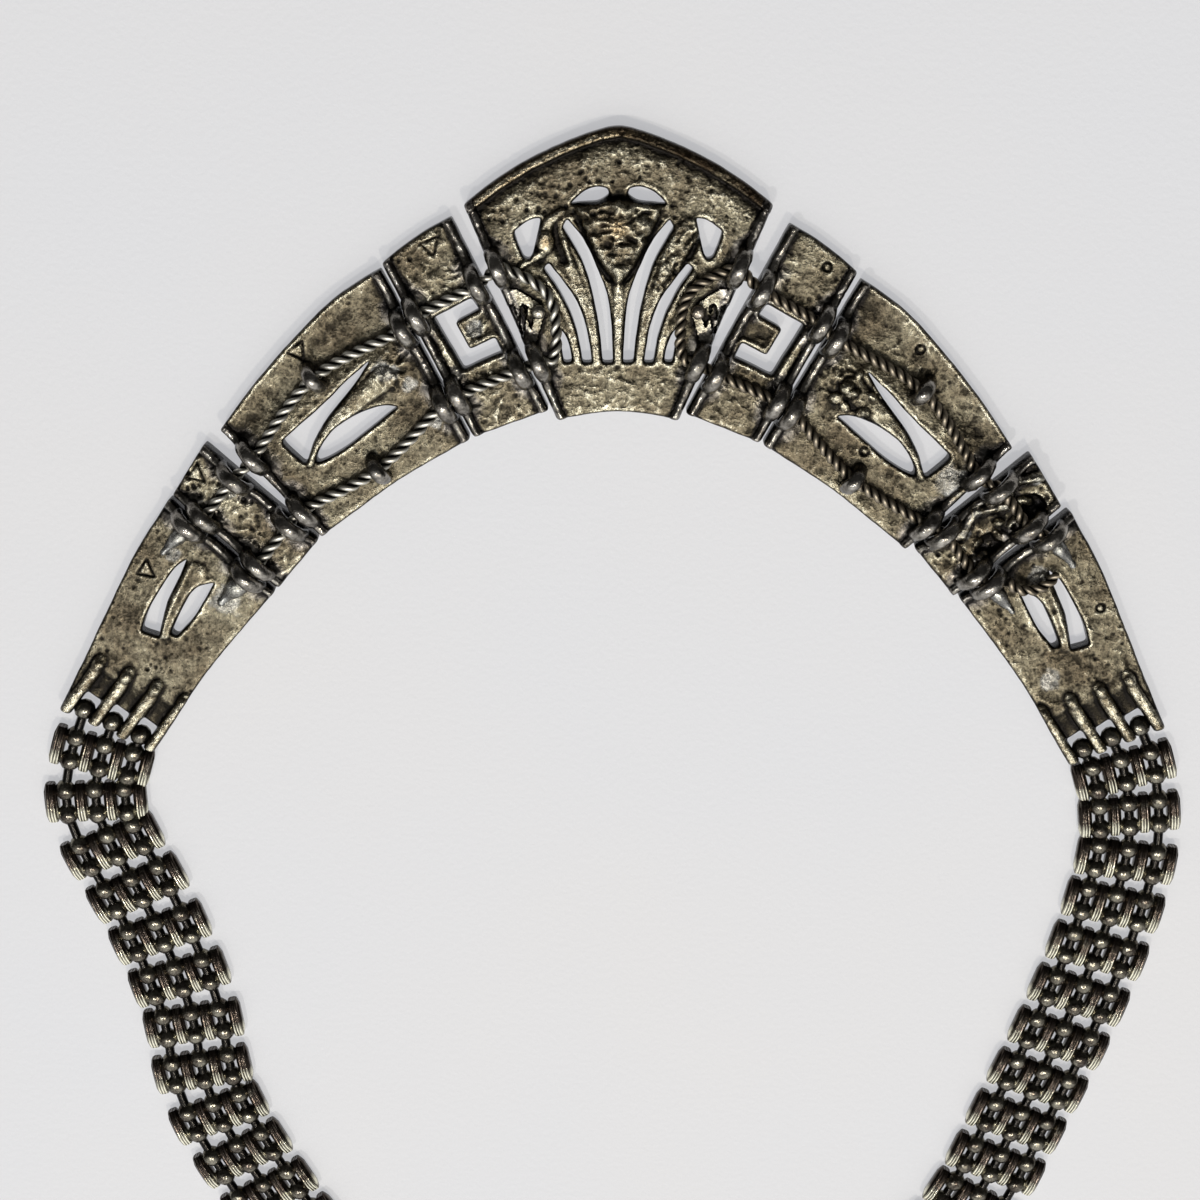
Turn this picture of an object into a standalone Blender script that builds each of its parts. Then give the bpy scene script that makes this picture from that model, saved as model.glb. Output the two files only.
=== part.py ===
"""Bib necklace lying on its front: nine pierced cast plates in an arch, threaded on two
hairpins of twisted wire, with a woven bar chain on each side and a plain clasp.

All sizes are in millimetres and are turned into metres when a mesh is made.
Plates are drawn once, for the right-hand side: x runs along the necklace from the centre
towards the clasp, y runs outwards from the neck. The left-hand side is the mirror image.
"""
import math
import bpy
import bmesh
from mathutils import Matrix, Vector

MM = 0.001
MIRROR = Matrix.Scale(-1.0, 4, (1.0, 0.0, 0.0))

# Plates
PLATE_THICK = 2.6
JOINT_GAP = 0.4
CENTRE_HALF_WIDTH = 19.95
CENTRE_DEPTH = 38.1
SQUARE_LENGTH = 10.7
SQUARE_DEPTH = 28.0
WING_LENGTH = 24.3
WING_DEPTH = 25.0
SMALL_LENGTH = 9.0
SMALL_DEPTH = 19.7
END_LENGTH = 29.3
END_DEPTH = 18.6

# Twisted wire and the cast loops that hold it
WIRE_RADIUS = 0.6
WIRE_CLEARANCE = 0.3
WIRE_SIDES = 6
LOOP_RADIUS = 0.85
LOOP_SPAN = 6.2
LOOP_INSET = 0.95
STAPLE_RADIUS = 0.6
STAPLE_SPAN = 5.0
LOOP_SIDES = 8
LOOP_STEPS = 6
WIRE_HEIGHT = PLATE_THICK + WIRE_CLEARANCE + WIRE_RADIUS
LOOP_SUNK = 0.6
WIRE_TAIL = 2.2
SOLDER_LENGTH = 2.0
SOLDER_WIDTH = 1.6
SOLDER_RISE = 1.4

# Cast relief
BUD_RISE = 1.2
CURL_RISE = 0.7
TUSK_RADIUS = 1.35
HORN_RADIUS = 1.2

# Post and bracket of the centre plate
POST_RADIUS = 0.9
POST_RISE = 1.9
BRACKET_WIDTH = 0.9
BRACKET_RISE = 0.7

# Chain
CHAIN_THICK = 2.5
CHAIN_COLUMN = 4.1
BAR_WIDTH = 1.8
BAR_LENGTH = 5.7
BEAD_THICK = 1.9
PIN_SPACING = 3.6
PITCH_SLACK = 6.35
PITCH_TAUT = 7.15
SLACK_ROWS = 4
BAR_GAP = 0.4
PIN_RADIUS = 0.35

# Prongs that hold the first pin of the chain
PRONG_GAP = 0.3
PRONG_WIDTH = BAR_WIDTH - 2 * PRONG_GAP
PRONG_EDGE = 0.12
PRONG_FIRST = PRONG_WIDTH / 2 + PRONG_EDGE
PRONG_WEB = 1.0
WEB_LENGTH = 3.8
SLOT_LENGTH = 3.7
PIN_TO_TIP = 1.25
PIN_SLANT = 0.19
PIN_CLEARANCE = 0.33
END_TAIL_WIDTH = 3 * CHAIN_COLUMN + 2 * PRONG_FIRST

# Clasp
CLASP_WIDTH = 13.4
CLASP_THICK = 3.0
CLASP_CORNER = 2.2
CLASP_GAP = 0.6

# How it lies. Each joint opens outwards by so many degrees and steps out by so many
# millimetres from the plate before it; the right small plate is tipped up.
JOINT_OPENS = {
    "left": {"square": 3.4, "wing": 0.2, "small": 7.0, "end": 0.3},
    "right": {"square": 5.2, "wing": 1.2, "small": 4.9, "end": 3.0},
}
JOINT_STEPS = {
    "left": {"square": 1.7, "wing": 0.0, "small": 0.0, "end": 0.0},
    "right": {"square": 1.2, "wing": 0.0, "small": 1.1, "end": 0.3},
}
TIP_UP = {"left": 0.0, "right": 2.5}
CENTRE_AT = (2.37, 25.45)

# Where the chains lie: across and up from the middle of the arch, in millimetres
CHAIN_ROUTE = {
    "left": [
        (-68.7, -21.7), (-70.0, -28.1), (-68.7, -34.0), (-63.2, -46.0), (-58.7, -59.7),
        (-56.5, -73.6), (-50.6, -86.3), (-41.5, -100.5), (-28.0, -114.0), (-12.5, -121.2),
        (-4.5, -121.6),
    ],
    "right": [
        (72.3, -23.5), (73.6, -30.2), (73.7, -37.0), (70.8, -50.3), (66.1, -64.3),
        (60.5, -78.2), (55.0, -91.0), (46.0, -104.0), (33.5, -115.0), (18.5, -121.3),
        (10.5, -121.6),
    ],
}

# Outlines and openings: (share of the length, share of the depth)
CENTRE_OUTLINE = [
    (0.0, 0.030), (0.195, 0.022), (0.403, 0.0), (1.0, 0.740), (0.807, 0.816),
    (0.596, 0.885), (0.366, 0.942), (0.145, 0.985), (0.0, 1.0),
]
CENTRE_OPENINGS = {
    "crescent": [(0.070, 0.795), (0.145, 0.800), (0.231, 0.782), (0.311, 0.743),
                 (0.211, 0.748), (0.125, 0.753), (0.060, 0.774)],
    "corner": [(0.501, 0.696), (0.576, 0.688), (0.672, 0.651), (0.657, 0.619),
               (0.612, 0.562), (0.576, 0.556), (0.551, 0.583), (0.526, 0.638)],
    "inner slot": [(0.033, 0.202), (0.100, 0.202), (0.118, 0.294), (0.160, 0.423),
                   (0.236, 0.551), (0.361, 0.664), (0.331, 0.693), (0.231, 0.627),
                   (0.155, 0.549), (0.078, 0.446), (0.048, 0.349)],
    "outer slot": [(0.170, 0.202), (0.231, 0.202), (0.261, 0.289), (0.316, 0.378),
                   (0.401, 0.462), (0.486, 0.525), (0.451, 0.543), (0.356, 0.480),
                   (0.266, 0.409), (0.206, 0.320)],
    "short slot": [(0.303, 0.205), (0.356, 0.202), (0.378, 0.265), (0.420, 0.310),
                   (0.405, 0.328), (0.356, 0.304), (0.321, 0.260)],
}
CENTRE_BUD = [(0.0, 0.745), (0.290, 0.717), (0.205, 0.630), (0.130, 0.548), (0.045, 0.480)]
CENTRE_CURL = [(0.420, 0.700), (0.470, 0.630), (0.500, 0.560), (0.430, 0.565), (0.370, 0.640)]
SQUARE_OUTLINE = [(0.0, 0.0), (1.0, 0.0), (1.271, 0.911), (0.780, 0.968), (0.280, 1.0)]
SQUARE_OPENINGS = {
    "round the tongue": [(0.402, 0.618), (0.916, 0.593), (0.804, 0.318), (0.290, 0.332),
                         (0.304, 0.407), (0.645, 0.396), (0.692, 0.536), (0.364, 0.557)],
}
WING_OUTLINE = [
    (0.0, 0.0), (0.33, 0.020), (0.53, 0.024), (0.78, 0.012), (1.0, 0.0), (1.107, 0.772),
    (0.802, 0.872), (0.506, 0.946), (0.180, 1.005), (-0.123, 1.0),
]
WING_OPENINGS = {
    "outer": [(0.214, 0.636), (0.395, 0.612), (0.535, 0.585), (0.856, 0.544), (0.864, 0.516),
              (0.835, 0.380), (0.819, 0.376), (0.716, 0.448), (0.597, 0.504), (0.453, 0.548),
              (0.313, 0.592)],
    "inner": [(0.230, 0.352), (0.432, 0.336), (0.576, 0.324), (0.708, 0.328), (0.774, 0.344),
              (0.745, 0.380), (0.642, 0.428), (0.539, 0.444), (0.403, 0.432), (0.284, 0.396)],
}
SMALL_OUTLINE = [(0.0, 0.0), (1.0, 0.0), (0.878, 0.944), (-0.056, 1.0)]
END_OUTLINE = [
    (0.0, 0.0), (0.29, 0.027), (0.57, 0.040), (0.80, 0.015), (0.79, 0.817), (0.51, 0.898),
    (0.237, 0.968), (-0.065, 1.0),
]
END_OPENINGS = {
    "outer": [(0.123, 0.645), (0.232, 0.608), (0.348, 0.575), (0.512, 0.473), (0.536, 0.602),
              (0.430, 0.651), (0.290, 0.672), (0.188, 0.672)],
    "inner": [(0.143, 0.387), (0.215, 0.468), (0.328, 0.462), (0.464, 0.419), (0.461, 0.371),
              (0.328, 0.355)],
}

# Where the wire crosses each joint edge: share of the plate's depth from the inner edge
WIRE_CROSSING = {
    "centre far": {"upper": 0.520, "lower": 0.197},
    "square near": {"upper": 0.675, "lower": 0.236},
    "square far": {"upper": 0.629, "lower": 0.214},
    "wing near": {"upper": 0.672, "lower": 0.232},
    "wing staple": {"upper": 0.728, "lower": 0.140},
    "wing far": {"upper": 0.552, "lower": 0.176},
    "small near": {"upper": 0.700, "lower": 0.218},
    "small far": {"upper": 0.695, "lower": 0.213},
    "end near": {"upper": 0.769, "lower": 0.226},
}
STAPLE_ALONG = 0.51

# Turn of the wire round the post, the post and its bracket: shares of the centre plate
HAIRPIN = [(0.682, 0.517), (0.566, 0.488), (0.466, 0.446), (0.418, 0.388), (0.406, 0.320),
           (0.406, 0.260), (0.436, 0.215)]
POST_AT = (0.519, 0.383)
BRACKET_BARS = [((0.672, 0.444), (0.546, 0.402)), ((0.566, 0.268), (0.514, 0.365)),
                ((0.682, 0.444), (0.566, 0.268))]

# Horns cast between the openings: (share of the length, share of the depth, share of the radius)
TUSK = [(0.272, 0.496, 0.96), (0.412, 0.488, 1.0), (0.576, 0.464, 0.63), (0.716, 0.420, 0.37),
        (0.807, 0.360, 0.26)]
HORN = [(0.157, 0.527, 1.0), (0.273, 0.532, 0.83), (0.392, 0.495, 0.58), (0.488, 0.441, 0.33)]

COLOURS = {
    "plate": (0.33, 0.31, 0.27),
    "wire": (0.36, 0.35, 0.33),
    "chain": (0.17, 0.16, 0.15),
    "clasp": (0.30, 0.29, 0.27),
}


def clear_scene():
    for obj in list(bpy.data.objects):
        bpy.data.objects.remove(obj, do_unlink=True)


def make_material(name, colour, roughness):
    material = bpy.data.materials.new(name)
    material.use_nodes = True
    shader = material.node_tree.nodes["Principled BSDF"]
    shader.inputs["Base Color"].default_value = (*colour, 1.0)
    shader.inputs["Metallic"].default_value = 1.0
    shader.inputs["Roughness"].default_value = roughness
    return material


def add_object(name, bm, material=None):
    bmesh.ops.remove_doubles(bm, verts=bm.verts[:], dist=1e-7)
    bmesh.ops.recalc_face_normals(bm, faces=bm.faces[:])
    mesh = bpy.data.meshes.new(name)
    bm.to_mesh(mesh)
    bm.free()
    obj = bpy.data.objects.new(name, mesh)
    bpy.context.scene.collection.objects.link(obj)
    if material is not None:
        mesh.materials.append(material)
    return obj


def combine(obj, tool, operation):
    """Cut the tool from the object or join it on, then put the tool away."""
    tool.hide_render = True
    tool.display_type = "WIRE"
    modifier = obj.modifiers.new(operation.title(), "BOOLEAN")
    modifier.operation = operation
    modifier.solver = "EXACT"
    modifier.object = tool
    depsgraph = bpy.context.evaluated_depsgraph_get()
    result = bpy.data.meshes.new_from_object(obj.evaluated_get(depsgraph))
    obj.modifiers.clear()
    obj.data = result
    bpy.data.objects.remove(tool, do_unlink=True)


def scaled(shares, length, depth):
    return [(share[0] * length, share[1] * depth) for share in shares]


def mirrored(points):
    return [(-point[0], point[1]) for point in reversed(points)]


def add_prism(bm, points, low, high):
    bottom = [bm.verts.new((x * MM, y * MM, low * MM)) for x, y in points]
    top = [bm.verts.new((x * MM, y * MM, high * MM)) for x, y in points]
    caps = [bm.faces.new(list(reversed(bottom))), bm.faces.new(top)]
    for i in range(len(points)):
        j = (i + 1) % len(points)
        bm.faces.new((bottom[i], bottom[j], top[j], top[i]))
    bmesh.ops.triangulate(bm, faces=caps)


def add_tube(bm, points, radii, sides):
    """Round bar through the points, closed at both ends."""
    rings = []
    count = len(points)
    up = Vector((0.0, 0.0, 1.0))
    for i, point in enumerate(points):
        before = points[max(i - 1, 0)]
        after = points[min(i + 1, count - 1)]
        along = (after - before).normalized()
        side = along.cross(up)
        if side.length < 0.2:
            side = along.cross(Vector((0.0, 1.0, 0.0)))
        if rings and side.dot(last_side) < 0.0:
            side = -side
        side.normalize()
        last_side = side.copy()
        lift = side.cross(along).normalized()
        ring = []
        for k in range(sides):
            angle = 2.0 * math.pi * (k + 0.5) / sides
            offset = side * math.cos(angle) + lift * math.sin(angle)
            ring.append(bm.verts.new((point + offset * radii[i]) * MM))
        rings.append(ring)
    for lower, upper in zip(rings, rings[1:]):
        for k in range(sides):
            j = (k + 1) % sides
            bm.faces.new((lower[k], lower[j], upper[j], upper[k]))
    bm.faces.new(list(reversed(rings[0])))
    bm.faces.new(rings[-1])


def add_loop(bm, middle, across, span, radius):
    """Cast loop over the wire: half an ellipse with both feet sunk in the plate."""
    half = span / 2 - radius
    rise = WIRE_HEIGHT + WIRE_RADIUS + WIRE_CLEARANCE + radius - PLATE_THICK + LOOP_SUNK
    points = []
    for k in range(LOOP_STEPS + 1):
        angle = math.pi * k / LOOP_STEPS
        reach = across * (half * math.cos(angle))
        height = PLATE_THICK - LOOP_SUNK + rise * math.sin(angle)
        points.append(Vector((middle[0] + reach[0], middle[1] + reach[1], height)))
    add_tube(bm, points, [radius] * len(points), LOOP_SIDES)


def add_lump(bm, points, height):
    """Low faceted lump of cast relief with its top over the middle of the outline."""
    low = PLATE_THICK - 0.3
    base = [bm.verts.new((x * MM, y * MM, low * MM)) for x, y in points]
    middle_x = sum(x for x, y in points) / len(points)
    middle_y = sum(y for x, y in points) / len(points)
    high = PLATE_THICK + height
    inner = []
    for x, y in points:
        near_x = middle_x + 0.45 * (x - middle_x)
        near_y = middle_y + 0.45 * (y - middle_y)
        inner.append(bm.verts.new((near_x * MM, near_y * MM, high * MM)))
    floor = bm.faces.new(list(reversed(base)))
    roof = bm.faces.new(inner)
    for i in range(len(points)):
        j = (i + 1) % len(points)
        bm.faces.new((base[i], base[j], inner[j], inner[i]))
    bmesh.ops.triangulate(bm, faces=[floor, roof])


def edge_at(corner, out):
    """Point on a straight joint edge that starts at corner[0] and ends at corner[1]."""
    start = Vector(corner[0])
    end = Vector(corner[1])
    share = (out - start.y) / (end.y - start.y)
    return start + (end - start) * share


def edge_direction(corner):
    return (Vector(corner[1]) - Vector(corner[0])).normalized()


def cut_prisms(plate, shapes, floor):
    """Cut the shapes out of the plate from above, down to the floor height."""
    bm = bmesh.new()
    for points in shapes:
        add_prism(bm, points, floor, PLATE_THICK + WIRE_HEIGHT)
    combine(plate, add_object(plate.name + "_cut", bm), "DIFFERENCE")


def build_plate(name, outline, openings, raised, material):
    """Pierced plate: an outline, openings through it, then what stands on it."""
    bm = bmesh.new()
    add_prism(bm, outline, 0.0, PLATE_THICK)
    plate = add_object(name, bm, material)
    if openings:
        cut_prisms(plate, openings, -1.0)
    combine(plate, add_object(name + "_raised", raised), "UNION")
    return plate


def joint_loops(bm, corner, outs, toward):
    """The upper and lower cast loop along one joint edge."""
    direction = edge_direction(corner)
    inward = Vector((direction.y, -direction.x)) * toward
    for out in outs:
        middle = edge_at(corner, out) + inward * LOOP_INSET
        add_loop(bm, middle, direction, LOOP_SPAN, LOOP_RADIUS)


def corners_of(outline, near, far):
    """Inner and outer corner of the near and of the far joint edge."""
    return {
        "near": (outline[near[0]], outline[near[1]]),
        "far": (outline[far[0]], outline[far[1]]),
    }


SQUARE = scaled(SQUARE_OUTLINE, SQUARE_LENGTH, SQUARE_DEPTH)
WING = scaled(WING_OUTLINE, WING_LENGTH, WING_DEPTH)
SMALL = scaled(SMALL_OUTLINE, SMALL_LENGTH, SMALL_DEPTH)
END = scaled(END_OUTLINE, END_LENGTH, END_DEPTH)
END[4:4] = [(END_LENGTH, 0.0), (END_LENGTH + PIN_SLANT * END_TAIL_WIDTH, END_TAIL_WIDTH)]
CENTRE_HALF = scaled(CENTRE_OUTLINE, CENTRE_HALF_WIDTH, CENTRE_DEPTH)
EDGES = {
    "centre": {"far": (CENTRE_HALF[2], CENTRE_HALF[3])},
    "square": corners_of(SQUARE, (0, 4), (1, 2)),
    "wing": corners_of(WING, (0, 9), (4, 5)),
    "small": corners_of(SMALL, (0, 3), (1, 2)),
    "end": {"near": (END[0], END[-1])},
}
DEPTHS = {"centre": CENTRE_DEPTH, "square": SQUARE_DEPTH, "wing": WING_DEPTH,
          "small": SMALL_DEPTH, "end": END_DEPTH}


def wire_outs(place_name):
    """How far out from the inner edge the wire crosses, in millimetres, upper then lower."""
    shares = WIRE_CROSSING[place_name]
    depth = DEPTHS[place_name.split()[0]]
    return {level: share * depth for level, share in shares.items()}


def build_centre(material):
    half = CENTRE_HALF
    outline = half + mirrored(half[1:-1])
    openings = []
    for points in CENTRE_OPENINGS.values():
        shape = scaled(points, CENTRE_HALF_WIDTH, CENTRE_DEPTH)
        openings += [shape, mirrored(shape)]
    raised = bmesh.new()
    outs = list(wire_outs("centre far").values())
    right = EDGES["centre"]["far"]
    left = ((-right[0][0], right[0][1]), (-right[1][0], right[1][1]))
    joint_loops(raised, right, outs, -1.0)
    joint_loops(raised, left, outs, 1.0)
    bud = scaled(CENTRE_BUD, CENTRE_HALF_WIDTH, CENTRE_DEPTH)
    add_lump(raised, [bud[0]] + mirrored(bud[1:])[::-1] + bud[:0:-1], BUD_RISE)
    curl = scaled(CENTRE_CURL, CENTRE_HALF_WIDTH, CENTRE_DEPTH)
    add_lump(raised, curl, CURL_RISE)
    add_lump(raised, mirrored(curl), CURL_RISE)
    plate = build_plate("centre_plate", outline, openings, raised, material)
    brackets = bmesh.new()
    post = scaled([POST_AT], CENTRE_HALF_WIDTH, CENTRE_DEPTH)[0]
    for side in (1.0, -1.0):
        foot = Vector((post[0] * side, post[1], PLATE_THICK - LOOP_SUNK))
        head = Vector((foot.x, foot.y, PLATE_THICK + POST_RISE))
        add_tube(brackets, [foot, head], [POST_RADIUS, POST_RADIUS], 12)
    combine(plate, add_object("posts", brackets), "UNION")
    for shares in BRACKET_BARS:
        bars = scaled(shares, CENTRE_HALF_WIDTH, CENTRE_DEPTH)
        bars_mesh = bmesh.new()
        for side in (1.0, -1.0):
            start = Vector((bars[0][0] * side, bars[0][1]))
            end = Vector((bars[1][0] * side, bars[1][1]))
            across = (end - start).normalized().orthogonal() * BRACKET_WIDTH / 2
            ring = [start + across, start - across, end - across, end + across]
            if (ring[1] - ring[0]).cross(ring[2] - ring[1]) < 0.0:
                ring.reverse()
            corners = [(point.x, point.y) for point in ring]
            add_prism(bars_mesh, corners, PLATE_THICK - LOOP_SUNK, PLATE_THICK + BRACKET_RISE)
        combine(plate, add_object("bracket_bars", bars_mesh), "UNION")
    return plate


def build_square(side, material):
    openings = [scaled(p, SQUARE_LENGTH, SQUARE_DEPTH) for p in SQUARE_OPENINGS.values()]
    raised = bmesh.new()
    joint_loops(raised, EDGES["square"]["near"], wire_outs("square near").values(), 1.0)
    joint_loops(raised, EDGES["square"]["far"], wire_outs("square far").values(), -1.0)
    return build_plate(side + "_square_plate", SQUARE, openings, raised, material)


def build_wing(side, material):
    openings = [scaled(p, WING_LENGTH, WING_DEPTH) for p in WING_OPENINGS.values()]
    raised = bmesh.new()
    joint_loops(raised, EDGES["wing"]["near"], wire_outs("wing near").values(), 1.0)
    joint_loops(raised, EDGES["wing"]["far"], wire_outs("wing far").values(), -1.0)
    for out in wire_outs("wing staple").values():
        across = Vector((0.05, 1.0)).normalized()
        middle = Vector((STAPLE_ALONG * WING_LENGTH, out))
        add_loop(raised, middle, across, STAPLE_SPAN, STAPLE_RADIUS)
    add_horn(raised, TUSK, WING_LENGTH, WING_DEPTH, TUSK_RADIUS)
    return build_plate(side + "_wing_plate", WING, openings, raised, material)


def add_horn(bm, shares, length, depth, radius):
    """Tapered round relief that lies along the bridge between two openings."""
    points = []
    for along, out, share in shares:
        height = PLATE_THICK - 0.25 * share * radius
        points.append(Vector((along * length, out * depth, height)))
    add_tube(bm, points, [share * radius for along, out, share in shares], LOOP_SIDES)


def build_small(side, material):
    raised = bmesh.new()
    joint_loops(raised, EDGES["small"]["near"], wire_outs("small near").values(), 1.0)
    joint_loops(raised, EDGES["small"]["far"], wire_outs("small far").values(), -1.0)
    return build_plate(side + "_small_plate", SMALL, [], raised, material)


def prong_centre(index):
    return PRONG_FIRST + index * CHAIN_COLUMN


def pin_point(out):
    """Point on the middle line of the first pin, which runs slanted like the prong tips."""
    return Vector((END_LENGTH - PIN_TO_TIP + out * PIN_SLANT, out))


def build_end(side, material):
    openings = [scaled(p, END_LENGTH, END_DEPTH) for p in END_OPENINGS.values()]
    webs = []
    for index in range(3):
        low = prong_centre(index) + PRONG_WIDTH / 2
        high = prong_centre(index + 1) - PRONG_WIDTH / 2
        slot = pin_point(prong_centre(index + 0.5)).x - SLOT_LENGTH
        start = slot - WEB_LENGTH
        webs.append([(start, low), (slot, low), (slot, high), (start, high)])
        past = slot + END_LENGTH
        openings.append([(slot, low), (past, low), (past, high), (slot, high)])
    raised = bmesh.new()
    joint_loops(raised, EDGES["end"]["near"], wire_outs("end near").values(), 1.0)
    add_horn(raised, HORN, END_LENGTH, END_DEPTH, HORN_RADIUS)
    for out in wire_outs("end near").values():
        edge = edge_at(EDGES["end"]["near"], out)
        centre = (edge.x + LOOP_INSET + WIRE_TAIL + SOLDER_LENGTH / 2, out)
        shape = []
        for k in range(8):
            angle = 2.0 * math.pi * k / 8
            shape.append((centre[0] + SOLDER_LENGTH / 2 * math.cos(angle),
                          centre[1] + SOLDER_WIDTH / 2 * math.sin(angle)))
        add_lump(raised, shape, SOLDER_RISE)
    plate = build_plate(side + "_end_plate", END, openings, raised, material)
    cut_prisms(plate, webs, PRONG_WEB)
    drill = bmesh.new()
    ends = [pin_point(-2.0), pin_point(END_DEPTH)]
    hole = [Vector((p.x, p.y, CHAIN_THICK / 2)) for p in ends]
    add_tube(drill, hole, [PIN_RADIUS + PIN_CLEARANCE] * 2, LOOP_SIDES)
    combine(plate, add_object(side + "_pin_hole", drill), "DIFFERENCE")
    return plate


def place(obj, matrix):
    """Set a piece in its place; a left-hand piece is the mirror image of the drawn one."""
    if matrix.determinant() < 0.0:
        obj.data.transform(MIRROR)
        obj.data.flip_normals()
        matrix = matrix @ MIRROR
    obj.matrix_world = matrix


def plate_matrices(side):
    """Lay the plates end to end: inner corners a gap apart, each joint opened outwards."""
    mirror = MIRROR if side == "left" else Matrix.Identity(4)
    outer = EDGES["centre"]["far"]
    corner = Vector(outer[0]).to_3d()
    lean = math.atan2(outer[1][0] - outer[0][0], outer[1][1] - outer[0][1])
    placed = {}
    for name in ("square", "wing", "small", "end"):
        near = EDGES[name]["near"]
        own_lean = math.atan2(near[1][0] - near[0][0], near[1][1] - near[0][1])
        edge_lean = lean + math.radians(JOINT_OPENS[side][name])
        turn = edge_lean - own_lean
        corner = corner + Vector((math.cos(lean), -math.sin(lean), 0.0)) * JOINT_GAP
        corner = corner + Vector((math.sin(lean), math.cos(lean), 0.0)) * JOINT_STEPS[side][name]
        matrix = Matrix.Translation(corner * MM) @ Matrix.Rotation(-turn, 4, "Z")
        if name == "small":
            matrix = matrix @ Matrix.Rotation(math.radians(TIP_UP[side]), 4, "X")
        placed[name] = matrix
        if "far" in EDGES[name]:
            far = EDGES[name]["far"]
            far_lean = math.atan2(far[1][0] - far[0][0], far[1][1] - far[0][1])
            lean = turn + far_lean
            corner = corner + (Matrix.Rotation(-turn, 4, "Z") @ Vector((far[0][0], 0.0, 0.0)))
    base = Matrix.Translation(Vector((CENTRE_AT[0], CENTRE_AT[1], 0.0)) * MM) @ mirror
    return {name: base @ matrix for name, matrix in placed.items()}, base


def crossing(name, edge, out, toward):
    corner = EDGES[name][edge]
    direction = edge_direction(corner)
    inward = Vector((direction.y, -direction.x)) * toward
    return edge_at(corner, out) + inward * LOOP_INSET


def smooth_path(points, steps):
    """Curve through the points, with a few steps between each two."""
    path = []
    count = len(points)
    for i in range(count - 1):
        p0 = points[max(i - 1, 0)]
        p1 = points[i]
        p2 = points[i + 1]
        p3 = points[min(i + 2, count - 1)]
        for k in range(steps):
            t = k / steps
            path.append(0.5 * (2.0 * p1 + (p2 - p0) * t
                               + (2.0 * p0 - 5.0 * p1 + 4.0 * p2 - p3) * t * t
                               + (3.0 * p1 - p0 - 3.0 * p2 + p3) * t * t * t))
    path.append(points[-1].copy())
    return path


def wire_path(matrices, base):
    """Middle line of one hairpin, from the end plate round the post and back."""
    def at(matrix, point):
        return matrix @ (Vector((point[0], point[1], WIRE_HEIGHT)) * MM) / MM

    def half(level):
        row = []
        out = wire_outs("end near")[level]
        tail = edge_at(EDGES["end"]["near"], out)
        stop = tail.x + LOOP_INSET + WIRE_TAIL - WIRE_CLEARANCE
        row.append(at(matrices["end"], (stop, out)))
        row.append(at(matrices["end"], crossing("end", "near", out, 1.0)))
        for name in ("small", "wing", "square"):
            far = crossing(name, "far", wire_outs(name + " far")[level], -1.0)
            row.append(at(matrices[name], far))
            if name == "wing":
                staple = (STAPLE_ALONG * WING_LENGTH, wire_outs("wing staple")[level])
                row.append(at(matrices[name], staple))
            near = crossing(name, "near", wire_outs(name + " near")[level], 1.0)
            row.append(at(matrices[name], near))
        row.append(at(base, crossing("centre", "far", wire_outs("centre far")[level], -1.0)))
        return row

    turn = [at(base, p) for p in scaled(HAIRPIN, CENTRE_HALF_WIDTH, CENTRE_DEPTH)]
    return half("upper") + turn + list(reversed(half("lower")))


def build_wire(side, matrices, base, material):
    points = smooth_path(wire_path(matrices, base), 2)
    bm = bmesh.new()
    add_tube(bm, points, [WIRE_RADIUS] * len(points), WIRE_SIDES)
    wire = add_object(side + "_twisted_wire", bm, material)
    for polygon in wire.data.polygons:
        polygon.use_smooth = len(polygon.vertices) == 4
    return wire


def chain_rows(side, matrices):
    """Middle, direction and cross direction of the first pin and of every row of bars."""
    end = matrices["end"]
    start = end @ (pin_point(prong_centre(1.5)).to_3d() * MM) / MM
    plate_along = (end.to_3x3() @ Vector((1.0, 0.0, 0.0))).normalized().to_2d()
    pin_across = (end.to_3x3() @ Vector((PIN_SLANT, 1.0, 0.0))).to_2d()
    route = [Vector((start.x, start.y))] + [Vector(p) for p in CHAIN_ROUTE[side]]
    path = smooth_path(route, 24)
    lengths = [0.0]
    for a, b in zip(path, path[1:]):
        lengths.append(lengths[-1] + (b - a).length)

    def sample(distance):
        distance = min(max(distance, 0.0), lengths[-1])
        i = 1
        while i < len(lengths) - 1 and lengths[i] < distance:
            i += 1
        share = (distance - lengths[i - 1]) / (lengths[i] - lengths[i - 1])
        return path[i - 1].lerp(path[i], share)

    first = PITCH_TAUT - PIN_SPACING / 2
    stops = [first]
    while True:
        share = min(len(stops) / SLACK_ROWS, 1.0)
        following = stops[-1] + PITCH_SLACK + (PITCH_TAUT - PITCH_SLACK) * share
        if following > lengths[-1] - first + PITCH_TAUT / 2:
            break
        stops.append(following)
    stretch = (lengths[-1] - first - stops[0]) / (stops[-1] - stops[0])
    rows = [(route[0], plate_along, pin_across)]
    flip = -1.0 if side == "left" else 1.0
    for stop in stops:
        distance = stops[0] + (stop - stops[0]) * stretch
        ahead = sample(distance + PITCH_TAUT / 2)
        behind = sample(distance - PITCH_TAUT / 2)
        along = (ahead - behind).normalized()
        across = Vector((-along.y, along.x)) * flip
        rows.append((sample(distance), along, across))
    along = (path[-1] - path[-8]).normalized()
    rows.append((path[-1], along, Vector((-along.y, along.x)) * flip))
    return rows


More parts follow.
